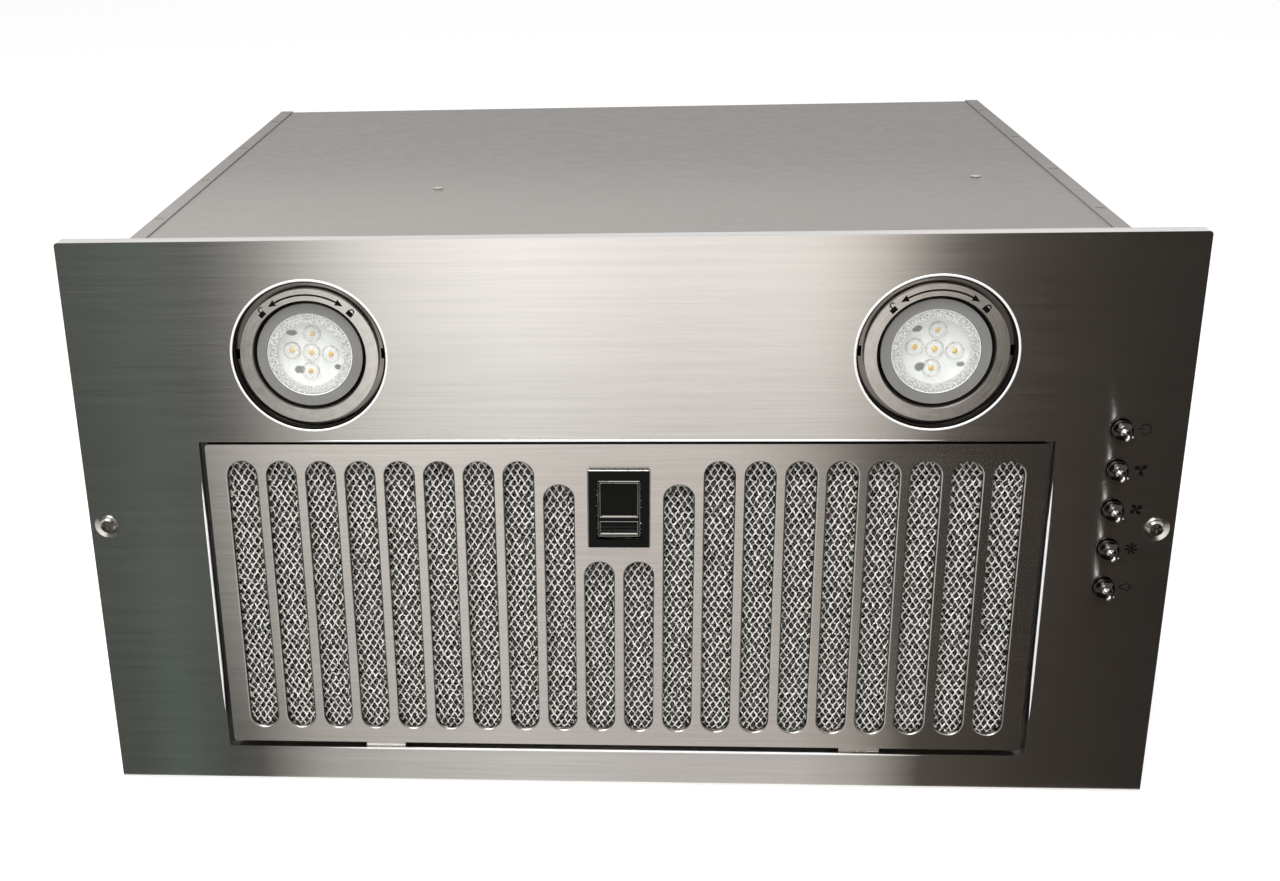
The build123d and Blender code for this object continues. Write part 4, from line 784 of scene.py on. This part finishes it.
@dataclass
class FacePanel(Part):
    """Face panel, its screws and the printed symbols beside the buttons."""

    print_gap: float = 0.04 * MM
    print_depth: float = 0.05 * MM
    symbol_offset: float = 10.9 * MM
    symbol_size: float = 3.1 * MM
    symbol_line: float = 0.45 * MM
    opening_half: float = 201.5 * MM
    opening_top: float = 187.8 * MM
    opening_gap: float = 3.2 * MM
    tab_reach: float = 6.6 * MM
    bend: float = 0.65 * MM
    shade_line_width: float = 0.8 * MM
    fans: tuple[tuple[str, int], ...] = (("low", 3), ("medium", 4), ("high", 7))

    def build(self) -> None:
        """Dresses the panel and prints the symbols."""
        self.dress(["face_panel"], self.finishes.panel.make())
        self.dress(["panel_screws"], self.finishes.screw.make())
        self.opening_edge()
        self.rear_shade_line()
        ink = self.finishes.ink.make()
        for name, shapes in self.symbols():
            self.add(f"symbol_{name}", stacked(shapes), ink, "root", "gloss_black", depth=self.print_depth,
                     smooth=False)

    def opening_edge(self) -> None:
        """Painted highlight on the bend round the filter's opening: a bright thin tube along its four sides.
        """
        low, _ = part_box("filter_face")
        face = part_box("face_panel")[0].y
        beyond = self.bend * 0.85
        side = self.opening_half + beyond
        top = self.opening_top + beyond
        bottom = low.z + self.tab_reach - self.opening_gap - beyond
        corners = np.array([[-side, bottom], [side, bottom], [side, top], [-side, top]])
        ends = np.stack([corners, np.roll(corners, -1, 0)], 1)
        share = np.linspace(0, 1, 5)[None, :, None]
        line = ends[:, :1] * (1 - share) + ends[:, 1:] * share
        paths = np.stack([line[..., 0], np.full(line.shape[:2], face + self.bend * 0.5), line[..., 1]], -1)
        self.add("opening_edge", tubes(paths, self.bend, 8), self.finishes.rim.make(), "root", "chrome")

    def rear_shade_line(self) -> None:
        """Painted shade along the rear of the panel's upper edge: a dark thin tube from end to end."""
        low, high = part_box("face_panel")
        x = np.linspace(low.x + 2 * self.shade_line_width, high.x - 2 * self.shade_line_width, 5)
        path = np.stack([x, np.full(5, high.y + 0.3 * self.shade_line_width), np.full(5, high.z - self.shade_line_width)], -1)[None]
        self.add("panel_rear_seam", tubes(path, self.shade_line_width, 8), self.finishes.groove.make(), "root",
                 "gloss_black")

    def middle(self, name: str) -> tuple[float, float]:
        """X and Z of the symbol beside a button."""
        x, z = middle_of(f"button_{name}")
        return (x + self.symbol_offset, z)

    def symbols(self) -> list[tuple[str, list[tuple[np.ndarray, np.ndarray]]]]:
        """The five printed symbols: power, three fans with more blades for more speed, and a bulb.

        Returns:
            Name and patches of each symbol.
        """
        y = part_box("face_panel")[0].y - self.print_gap
        size = self.symbol_size
        line = self.symbol_line
        x, z = self.middle("power")
        gap = radians(35)
        made = [("power", [arc_band((x, z), size * 0.8, line, pi + gap, 3 * pi - gap, y),
                           bar((x - size * 1.05, z), (x - size * 0.15, z), line, y)])]
        for name, blades in self.fans:
            spot = self.middle(name)
            step = 2 * pi / blades
            width = min(0.46, 1.7 / blades) * size
            leaves = [leaf(spot, size * 0.12, size, width, 0.4 + step * index, y) for index in range(blades)]
            made.append((name, leaves + [arc_band(spot, size * 0.09, size * 0.16, 0, 2 * pi, y, 16)]))
        x, z = self.middle("light")
        made.append(("light", [arc_band((x, z), size * 0.55, line, radians(-140), radians(140), y),
                               bar((x - size * 0.5, z + size * 0.3), (x - size, z + size * 0.3), line, y),
                               bar((x - size * 0.5, z - size * 0.3), (x - size, z - size * 0.3), line, y),
                               bar((x - size, z - size * 0.35), (x - size, z + size * 0.35), line, y)]))
        return made


@dataclass
class GreaseFilter(Part):
    """Filter cartridge: brushed face, knitted wire pad, retainer and latch."""

    stitch: float = 3.4 * MM
    course: float = 2.8 * MM
    wire: float = 0.38 * MM
    flat: float = 0.4
    twist: float = 0.8
    swing: float = 1.9 * MM
    layers: int = 2
    bands: int = 3
    crimp: float = 0.25 * MM
    crimp_length: float = 9.0 * MM
    crimp_lean: float = 0.35
    first_layer: float = 2.4
    layer_step: float = 4.5
    start_spread: float = 0.25
    height_spread: float = 0.1
    loop_lean: float = 0.12
    side_spread: float = 0.06
    loop_bulge: float = 0.5
    depth_spread: float = 0.4
    sheet_grid: tuple[int, int] = (160, 400)
    sheet_gap: float = 1.2 * MM
    sheet_crimp: float = 0.6 * MM
    sheet_depth: float = 0.2 * MM
    gap_shade_colour: Colour = (0.012, 0.011, 0.01)
    wire_shade_colour: Colour = (0.3, 0.29, 0.27)
    wall_depth: float = 0.12 * MM
    sill_rise: float = 15.0 * MM
    latch_edge: float = 0.3 * MM
    thumb_height: float = 29.2 * MM
    thumb_border: float = 1.3 * MM
    dish_height: float = 17.6 * MM
    grip_height: float = 6.6 * MM
    seed: int = 11

    def build(self) -> None:
        """Dresses the cartridge and knits the pad."""
        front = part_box("filter_face")[0].y
        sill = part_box("filter_face")[0].z + self.sill_rise
        # The filter steel gets painted shade on its slots' turned-in walls above the sills.
        steel = replace(self.finishes.filter, wall=front + self.wall_depth, sill=sill)
        self.dress(["filter_face"], steel.make())
        self.dress(["filter_back"], self.finishes.inner.make())
        low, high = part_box("latch_bezel")
        edge = self.latch_edge
        frames = ((high.x - edge, low.z + edge, high.z - edge),)
        self.dress(["latch_bezel"], GlossBlackPaintedHighlights("latch_bezel_black", frames).make())
        low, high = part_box("latch_slide")
        border = self.thumb_border
        dish_top = low.z + self.thumb_height - border
        frames = ((high.x - edge, low.z + edge, low.z + self.thumb_height - edge),
                  (high.x - border, dish_top - self.dish_height, dish_top),
                  (high.x - border, low.z + border, low.z + border + self.grip_height))
        self.dress(["latch_slide"], GlossBlackPaintedHighlights("latch_slide_black", frames).make())
        self.dress(["latch_spring"], self.finishes.spring.make())
        self.knit()

    def knit(self) -> None:
        """Makes the pad from layers of knitted wire, in a few pieces for each layer."""
        low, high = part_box("filter_pad")
        latch_low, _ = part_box("latch_bezel")
        # The second layer takes the darkened wire, painted shade.
        materials = [self.finishes.wire.make(), self.finishes.deep_wire_painted_shade.make()]
        draw = np.random.default_rng(self.seed)
        rows = int((high.z - low.z - 2 * self.swing) / self.course) + 1
        replaced = ("filter_pad",)
        for layer in range(self.layers):
            depth = low.y + self.wire * self.first_layer + self.crimp + layer * self.wire * self.layer_step
            heights = low.z + self.swing + self.wire + self.course * (np.arange(rows) + 0.5 * layer)
            for band, group in enumerate(np.array_split(np.arange(rows), self.bands)):
                paths = self.courses(low.x + self.stitch, high.x - self.stitch, heights[group], group,
                                     depth, draw)
                paths[..., 2] = np.clip(paths[..., 2], low.z + self.wire, high.z - self.wire)
                paths = self.notched(paths, latch_low)
                roll = draw.normal(0, self.twist, paths.shape[:2])
                wires = tubes(paths, self.wire, 4, self.flat, roll)
                self.add(f"filter_mesh_{layer + 1}_{band + 1}", wires, materials[layer], "filter", "mesh",
                         replaced, smooth=False)
                replaced = ()
        self.backing(low, high, latch_low)

    def courses(self, left: float, right: float, heights: np.ndarray, numbers: np.ndarray, depth: float,
                draw: np.random.Generator) -> np.ndarray:
        """Knitted courses, each a rounded zigzag against the next: z = h + a (sin t - sin 3t / 9).

        Args:
            left: Where the courses start.
            right: Where they end.
            heights: Z of each course.
            numbers: Number of each course; odd ones are half a stitch on.
            depth: Y of the layer's middle.
            draw: Random numbers for the loops' unevenness.

        Returns:
            Paths, shape (courses, steps, 3); x = w t / 2 pi + l w sin 2t and y = d + c cos 2t.
        """
        loops = int((right - left) / self.stitch)
        steps = loops * 8 + 1
        start = pi * (numbers % 2)[:, None] + draw.normal(0, self.start_spread, (len(heights), 1))
        turn = np.linspace(0, 2 * pi * loops, steps)[None, :] + start
        lean = draw.normal(0, 1.0, (len(heights), steps))
        tall = 1.0 + draw.normal(0, self.height_spread, (len(heights), steps))
        even = np.linspace(left, right, steps)[None, :]
        x = even + self.stitch * (self.loop_lean * np.sin(2 * turn) + self.side_spread * lean)
        z = heights[:, None] + self.swing * tall * (np.sin(turn) - np.sin(3 * turn) / 9)
        bulge = self.wire * (self.loop_bulge * np.cos(2 * turn) + self.depth_spread * lean)
        return np.stack([x, depth + self.folds(x, z) * self.crimp + bulge, z], -1)

    def folds(self, x: np.ndarray, z: np.ndarray) -> np.ndarray:
        """The crimp of every layer, from -1 to 1: sin(2 pi (z + k x) / l)."""
        return np.sin(2 * pi * (z + self.crimp_lean * x) / self.crimp_length)

    def notched(self, paths: np.ndarray, latch_low: Any) -> np.ndarray:
        """Pushes wires that would run into the latch's housing out to its sides."""
        half = abs(latch_low.x) + self.wire
        inside = (np.abs(paths[..., 0]) < half) & (paths[..., 2] > latch_low.z - self.wire)
        moved = paths.copy()
        side = np.where(paths[..., 0] < 0, -half, half)
        moved[..., 0] = np.where(inside, side, paths[..., 0])
        return moved

    def backing(self, low: Any, high: Any, latch_low: Any) -> None:
        """Deeper layers seen through the wires: a crimped sheet without the latch's place, painted dark as
        their shade, with near-black gaps between darkened wires.
        """
        rows, columns = self.sheet_grid
        depth = high.y - self.sheet_gap
        x = np.linspace(low.x + MM, high.x - MM, columns)[None, :]
        z = np.linspace(low.z + MM, high.z - MM, rows)[:, None]
        fold = self.folds(x, z) * self.sheet_crimp
        grid = np.stack([np.broadcast_to(x, fold.shape), depth + fold, np.broadcast_to(z, fold.shape)], -1)
        quads = grid_quads(rows, columns)
        centre = grid.reshape(-1, 3)[quads].mean(1)
        kept = ~((np.abs(centre[:, 0]) < abs(latch_low.x) + MM) & (centre[:, 2] > latch_low.z - MM))
        # Painted shade: near-black gaps between darkened wires.
        sheet = Surface("mesh_depth_painted_shade", Metallic=0.9)
        cells = sheet.step(sheet.cells(520.0, "DISTANCE_TO_EDGE"), 0.16, 0.04)
        glint = sheet.noise(700.0, 2.0)
        sheet.feed(Base_Color=sheet.mix(cells, self.gap_shade_colour, self.wire_shade_colour),
                   Roughness=glint * 0.4 + 0.2, Normal=sheet.bump(cells, 0.0004, 1.0))
        self.add("filter_mesh_depth", (grid.reshape(-1, 3), quads[kept]), sheet.material, "filter", "mesh",
                 depth=self.sheet_depth)


@dataclass
class Light(Part):
    """One lamp: rolled hole edge, twist ring with its printed arrow, cup, lamp, board and lens."""

    side: str = "left"
    hole_gap: float = 3.7 * MM
    rim: float = 0.55 * MM
    rim_flat: float = 0.7
    shade_ring_inset: float = 0.55 * MM
    shade_ring_depth: float = 2.2 * MM
    shade_ring_line: tuple[float, float] = (0.5 * MM, 1.0 * MM)
    arrow_radius: float = 29.7 * MM
    arrow_span: float = 36.0
    arrow_line: float = 0.85 * MM
    head_span: float = 7.0
    head_half: float = 1.6 * MM
    lock_span: float = 9.0
    funnel_edge: float = 26.7 * MM
    groove_edge: float = 33.0 * MM
    lens_line: float = 0.22 * MM
    lock_size: float = 1.25 * MM
    print_gap: float = 0.04 * MM
    print_depth: float = 0.05 * MM
    tray_floor: float = 0.5 * MM
    tray_rise: float = 2.2 * MM
    led_base: float = 0.55 * MM
    led_turn: float = -6.0
    chip: float = 1.3 * MM
    led_circle: float = 9.2 * MM
    dome: float = 4.3 * MM
    dome_height: float = 2.7 * MM

    def build(self) -> None:
        """Dresses the lamp and adds its small pieces."""
        self.x, self.z = middle_of(f"lamp_{self.side}")
        centre = (self.x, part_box(f"lamp_{self.side}")[0].y, self.z)
        ring_low, ring_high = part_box(f"light_ring_{self.side}")
        self.hole = (ring_high.x - ring_low.x) / 2 + self.hole_gap
        self.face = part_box("face_panel")[0].y
        finishes = self.finishes
        # The ring's inner funnel gets painted shade.
        ring = TurnedSteel(f"ring_steel_{self.side}", (0.8, 0.78, 0.75), centre, self.funnel_edge)
        self.dress([f"light_ring_{self.side}"], ring.make())
        # Painted shade: the can is a darkened copy of the ring steel, dark as the groove between ring and
        # hole.
        groove = TurnedSteel(f"light_groove_{self.side}", (0.3, 0.28, 0.26), centre, self.groove_edge,
                             funnel=(0.34, 0.32, 0.3))
        self.dress([f"light_can_{self.side}"], groove.make())
        self.shadow_line()
        self.dress([f"lamp_{self.side}"], finishes.lamp.make())
        self.dress([f"lampholder_{self.side}"], finishes.ceramic.make())
        self.dress([f"lamp_lens_{self.side}"], FrostedLens(f"lens_{self.side}", centre).make())
        self.painted_highlight_edge()
        self.arrow()
        self.optics(centre)

    def painted_highlight_edge(self) -> None:
        """Painted highlight on the rolled edge of the panel's hole, a bright torus flatter than it is wide.
        """
        edge = torus((self.x, self.z), self.hole + self.rim, self.face,
                     (self.rim, self.rim * self.rim_flat), 144)
        self.add(f"light_edge_{self.side}", edge, self.finishes.rim.make(), "root", "chrome")

    def shadow_line(self) -> None:
        """Painted shade as a dark ring just inside the hole's edge, and a painted highlight as a bright bead
        at the lens' edge.
        """
        middle = (self.x, self.z)
        shade_ring = torus(middle, self.hole - self.shade_ring_inset, self.face + self.shade_ring_depth, self.shade_ring_line, 120)
        self.add(f"light_shade_ring_{self.side}", shade_ring, self.finishes.groove.make(), "root", "rubber")
        low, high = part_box(f"lamp_lens_{self.side}")
        radius = (high.x - low.x) / 2 - self.lens_line
        edge = torus(middle, radius, low.y, (self.lens_line, self.lens_line), 120)
        self.add(f"lens_edge_{self.side}", edge, self.finishes.rim.make(), "root", "chrome")

    def arrow(self) -> None:
        """Printed double arrow on the ring, with an open and a closed padlock at its ends."""
        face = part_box(f"light_ring_{self.side}")[0].y - self.print_gap
        middle = (self.x, self.z)
        span = radians(self.arrow_span)
        head = radians(self.head_span)
        radius = self.arrow_radius
        shapes = [arc_band(middle, radius, self.arrow_line, pi / 2 - span + head, pi / 2 + span - head, face)]
        for way in (-1, 1):
            shapes.append(self.arrow_head(middle, radius, pi / 2 + way * (span - head), way * head, face))
            angle = pi / 2 + way * (span + radians(self.lock_span))
            shapes += self.padlock(middle, radius, angle, way > 0, face)
        self.add(f"ring_arrow_{self.side}", stacked(shapes), self.finishes.ink.make(), f"ring_{self.side}",
                 "gloss_black", depth=self.print_depth, smooth=False)

    def arrow_head(self, middle: Sequence[float], radius: float, angle: float, length: float,
                   y: float) -> tuple[np.ndarray, np.ndarray]:
        """A pointed head along the arc: its half width falls evenly to the tip."""
        share = np.linspace(0, 1, 6)
        turn = angle + length * share
        half = self.head_half * (1 - share)
        ray = np.stack([np.cos(turn), np.sin(turn)], -1)
        return flat_patch(np.asarray(middle) + ray * (radius - half)[:, None],
                          np.asarray(middle) + ray * (radius + half)[:, None], y)

    def padlock(self, middle: Sequence[float], radius: float, angle: float, opened: bool,
                y: float) -> list[tuple[np.ndarray, np.ndarray]]:
        """A small padlock that stands along the ring's radius; an opened one has a lifted shackle."""
        out = np.array([cos(angle), sin(angle)])
        along = np.array([-out[1], out[0]])
        spot = np.asarray(middle) + out * radius
        size = self.lock_size
        body = bar(spot - out * 1.5 * size, spot + out * 0.3 * size, 2.6 * size, y)
        lift = 0.55 * size if opened else 0.0
        hub = spot + out * (0.5 * size + lift) - along * (0.9 * size if opened else 0.0)
        shackle = arc_band(hub, 0.85 * size, 0.45 * size, angle - pi / 2, angle + pi / 2, y, 14)
        foot = hub + along * 0.85 * size
        leg = bar(foot - out * (0.4 * size + lift), foot, 0.45 * size, y)
        return [body, shackle, leg]

    def optics(self, centre: tuple[float, float, float]) -> None:
        """Tray, yellow chips and clear domes in place of the plain board."""
        low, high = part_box(f"lamp_leds_{self.side}")
        radius = (high.x - low.x) / 2
        floor = high.y
        share = np.linspace(0, 1, 24)
        dish = np.stack([radius * share, floor - (self.tray_floor + self.tray_rise * share ** 4)], -1)
        back = np.stack([radius * share[::-1], np.full(len(share), floor)], -1)
        tray = LampTray(f"lamp_tray_{self.side}", centre).make()
        plate = turned(np.concatenate([dish, back]), self.x, self.z)
        self.add(f"led_tray_{self.side}", plate, tray, "root", "led", (f"lamp_leds_{self.side}",))
        spots = [(0.0, 0.0)] + [(self.led_circle * cos(a), self.led_circle * sin(a))
                                for a in np.arange(4) * pi / 2 + radians(self.led_turn)]
        domes, chips = [], []
        base = floor - self.led_base
        arc = np.linspace(0, pi / 2, 12)
        dome = np.stack([self.dome * np.sin(arc), base - self.dome_height * np.cos(arc) ** 1.3], -1)
        button = np.stack([self.chip * np.sin(arc), base - self.chip * 0.5 * np.cos(arc) - 0.1 * MM], -1)
        for dx, dz in spots:
            domes.append(turned(dome, self.x + dx, self.z + dz, 40))
            chips.append(turned(button, self.x + dx, self.z + dz, 20))
        glass = Surface(f"led_clear_{self.side}", Roughness=0.04, IOR=1.5)
        ripple = glass.noise(420.0, 2.0)
        _, height, _ = glass.axes(glass.place((0.0, base, 0.0)))
        foot = glass.step(height, -self.dome_height * 0.75, 0.0)
        tint = glass.mix(ripple, (0.93, 0.93, 0.88), (1.0, 0.98, 0.95))
        glass.feed(Base_Color=glass.mix(foot, tint, (0.2, 0.19, 0.17)),
                   Alpha=foot * 0.25 + glass.step(ripple, 0.4, 0.7) * 0.35 + 0.05,
                   Normal=glass.bump(ripple, 0.0004, 0.6))
        self.add(f"led_domes_{self.side}", stacked(domes), glass.material, "root", "led")
        amber = Surface(f"led_chip_{self.side}", Roughness=0.4)
        grains = amber.noise(1600.0, 2.0)
        amber.feed(Base_Color=amber.mix(grains, (0.75, 0.42, 0.07), (0.95, 0.68, 0.2)))
        self.add(f"led_chips_{self.side}", stacked(chips), amber.material, "root", "led")


@dataclass
class Controls(Part):
    """Push buttons with a black line of painted shade round each rim, switch block and bracket."""

    foot: float = 2.8 * MM
    rim_radius: float = 4.68 * MM
    rim_line: float = 0.24 * MM

    def rims(self, names: Sequence[str]) -> None:
        """Black line of painted shade round the rim of each button's foot, a torus."""
        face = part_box("face_panel")[0].y
        material = self.finishes.groove.make()
        for name in names:
            ring = torus(middle_of(name), self.rim_radius, face - self.foot,
                         (self.rim_line, self.rim_line), 48, 8)
            self.add(f"{name}_rim", ring, material, name, "black_plastic")

    def build(self) -> None:
        """Dresses the controls."""
        names = [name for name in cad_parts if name.startswith("button_")]
        for name in names:
            self.dress([name], ChromeWithPaintedReflection(f"{name}_chrome", middle_of(name)).make())
        self.rims(names)
        self.dress(["switch_block"], self.finishes.black.make())
        self.dress(["switch_bracket"], self.finishes.inner.make())


@dataclass
class Body(Part):
    """Sheet walls, frame, outlet and wiring."""

    def build(self) -> None:
        """Dresses the body's nodes."""
        finishes = self.finishes
        self.dress(["top_wall", "bottom_wall", "left_wall", "right_wall", "back_wall"], finishes.body.make())
        inner = finishes.inner.make()
        self.dress(["filter_frame", "wiring_box", "wiring_cover", "capacitor_clip", "blower_hanger",
                    "blower_foot", "scroll_wrap", "scroll_side_left", "scroll_side_right",
                    "motor_bracket"], inner)
        self.dress(["duct_collar", "damper_flap_left", "damper_flap_right"], finishes.duct.make())
        self.dress(["roof_rivets"], finishes.rivet.make())
        self.dress(["bracket_screws", "collar_screws"], finishes.screw.make())
        self.dress(["flap_rod", "motor_shaft", "motor_bearings"], finishes.spring.make())
        self.dress(["blower_wheel", "wheel_blades"], finishes.wheel.make())
        self.dress(["motor_rotor", "motor_stator"], finishes.core.make())
        self.dress(["motor_can", "motor_cap"], finishes.motor.make())
        self.dress(["terminal_block"], finishes.white.make())
        self.dress(["cable_grommet"], finishes.rubber.make())
        self.dress(["capacitor"], finishes.capacitor.make())


# ---------------------------------------------------------------- studio

@dataclass
class Studio:
    """Floor, soft lights, reflection cards and the camera at the photograph's place."""

    camera_place: tuple[float, float, float] = (0.00749, -0.95398, 0.46094)
    camera_turn: tuple[float, float, float] = (68.42, 1.6045, 4.0722)
    lens: float = 45.992
    shift: tuple[float, float] = (0.10199, 0.0217)
    sensor: float = 36.0
    floor_size: float = 8.0
    floor_drop: float = 0.0002
    card_far: float = 2.4
    card_high: float = 2.2
    card_half: float = 3.0
    card_view: float = 0.3
    card_gap: float = 0.0005
    card_lift: float = 0.001
    card_back: tuple[float, float, float] = (-0.7, -1.15, 0.76)
    card_front: tuple[float, float, float] = (-0.25, -0.03, 0.42)
    card_level: float = 0.76
    card_middle: tuple[float, float] = (0.18, 0.1)
    card_sides: float = 0.87

    def build(self) -> None:
        """Sets up the whole studio."""
        self.world()
        self.floor()
        self.card()
        self.lamps()
        self.camera()
        bpy.context.scene.view_settings.view_transform = "Standard"

    def seen(self, sheet: NodeSheet) -> Wire:
        """1 for rays that show the background: from the camera, mirrored or passed through."""
        path = sheet.node("ShaderNodeLightPath").socket.node
        rays = [Wire(sheet, path.outputs[name]) for name in
                ("Is Camera Ray", "Is Glossy Ray", "Is Transmission Ray")]
        return (rays[0] + rays[1] + rays[2]).fold("MINIMUM", 1.0)

    def world(self) -> None:
        """White to the eye and in mirrors, a soft fill elsewhere."""
        world = bpy.data.worlds.new("studio_world")
        world.use_nodes = True
        bpy.context.scene.world = world
        sheet = NodeSheet(world.node_tree)
        background = world.node_tree.nodes["Background"]
        background.inputs["Color"].default_value = (1.0, 1.0, 1.0, 1.0)
        sheet.plug(background.inputs["Strength"], self.seen(sheet) * 0.45 + 0.55)

    def floor(self) -> None:
        """Pale floor under the insert that keeps its shadow."""
        half = self.floor_size
        points = np.array([[-half, -half, 0], [half, -half, 0], [half, half, 0], [-half, half, 0]], float)
        surface = Surface("studio_floor", Roughness=1.0)
        surface.feed(Base_Color=(0.62, 0.62, 0.62), Emission_Color=(1.0, 1.0, 1.0),
                     Emission_Strength=self.seen(surface) * 0.62)
        surface.shader.inputs["Specular IOR Level"].default_value = 0.0
        floor = mesh_piece("studio_floor", points, np.array([[0, 1, 2, 3]]), surface.material, False)
        floor.location.z = -self.floor_drop

    def card(self) -> None:
        """Studio surroundings that only polished metal mirrors: a run of floor and a wall before the panel.

        Their colours follow u = (x - cx) / (cy - y), the fan of lines that leaves the mirrored camera,
        so that they stand as upright bands in the brushed panel.
        """
        panel_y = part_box("face_panel")[0].y
        line = np.array([[panel_y - self.card_gap, self.card_lift], [-self.card_far, self.card_lift],
                         [-self.card_far, self.card_high]])
        across = np.array([-self.card_half, self.card_half])
        grid = np.stack(np.broadcast_arrays(across[None, :], line[:, 0][:, None], line[:, 1][:, None]), -1)
        material = bpy.data.materials.new("studio_card")
        material.use_nodes = True
        material.node_tree.nodes.clear()
        sheet = NodeSheet(material.node_tree)
        mirrored = 2 * panel_y - self.camera_place[1]
        x, y, _ = sheet.axes(sheet.place())
        reach = mirrored - panel_y
        u = (x - self.camera_place[0]) * reach / (mirrored - y) + self.camera_place[0]
        share = sheet.node("ShaderNodeMapRange", {}, {"Value": u, "From Min": -self.card_view,
                                                      "From Max": self.card_view})
        bands = sheet.ramp(share, self.bands())
        back = sheet.step(y, *self.card_back[:2]) * self.card_back[2]
        front = sheet.step(y, *self.card_front[:2]) * self.card_front[2]
        middle = sheet.step(u.fold("ABSOLUTE"), *self.card_middle)
        far = (back + front + self.card_level) * middle + (1 - middle) * self.card_sides
        glow = sheet.node("ShaderNodeEmission", {}, {"Color": bands, "Strength": far}, 0)
        output = material.node_tree.nodes.new("ShaderNodeOutputMaterial")
        sheet.plug(output.inputs["Surface"], glow)
        card = mesh_piece("studio_card", grid.reshape(-1, 3), grid_quads(3, 2), material, False)
        card.visible_camera = False
        card.visible_diffuse = False
        card.visible_shadow = False
        card.visible_transmission = False

    def bands(self) -> list[tuple[float, Colour]]:
        """Dark green-grey on the left, bright in the middle, dark brown-grey on the right."""
        places = (-0.25, -0.226, -0.2, -0.186, -0.15, -0.11, -0.05, 0.02, 0.09, 0.12, 0.15, 0.2, 0.25)
        colours = ((0.085, 0.095, 0.08), (0.11, 0.145, 0.125), (0.075, 0.08, 0.068), (0.1, 0.095, 0.085),
                   (0.58, 0.565, 0.54), (0.82, 0.8, 0.77), (0.97, 0.95, 0.92), (0.87, 0.83, 0.81),
                   (0.88, 0.84, 0.81), (0.66, 0.62, 0.58), (0.09, 0.075, 0.062), (0.05, 0.04, 0.03),
                   (0.035, 0.028, 0.023))
        return [((place + self.card_view) / (2 * self.card_view), colour)
                for place, colour in zip(places, colours)]

    def lamps(self) -> None:
        """Two plain soft lamps and a narrow one that glints on edges."""
        for name, place, turn, size, power in (
                ("key", (-0.6, -1.4, 2.0), (38, 0, -22), (1.6, 1.6), 20.0),
                ("top", (-0.25, -0.3, 0.75), (12, -8, 0), (0.6, 0.3), 2.2),
                ("strip", (-0.1, -0.9, 1.8), (22, 0, 0), (1.3, 0.4), 14.0)):
            light = bpy.data.lights.new(name, "AREA")
            light.shape = "RECTANGLE"
            light.size, light.size_y = size
            light.energy = power
            lamp = bpy.data.objects.new(name, light)
            lamp.location = place
            lamp.rotation_euler = [radians(angle) for angle in turn]
            lamp.visible_glossy = name != "top"
            bpy.context.scene.collection.objects.link(lamp)

    def camera(self) -> None:
        """Camera at the photograph's viewing place."""
        data = bpy.data.cameras.new("view")
        data.lens = self.lens
        data.sensor_width = self.sensor
        data.sensor_fit = "HORIZONTAL"
        data.shift_x, data.shift_y = self.shift
        data.clip_start = 0.01
        camera = bpy.data.objects.new("view", data)
        camera.location = self.camera_place
        camera.rotation_euler = [radians(angle) for angle in self.camera_turn]
        bpy.context.scene.collection.objects.link(camera)
        bpy.context.scene.camera = camera


def main() -> None:
    """Builds the insert's looks in order."""
    logging.basicConfig(level=logging.INFO, format="%(name)s: %(message)s")
    finishes = Finishes()
    parts = [FacePanel(finishes), GreaseFilter(finishes), Light(finishes, side="left"),
             Light(finishes, side="right"), Controls(finishes), Body(finishes)]
    for part in parts:
        part.build()
    Studio().build()


if __name__ == "__main__":
    main()
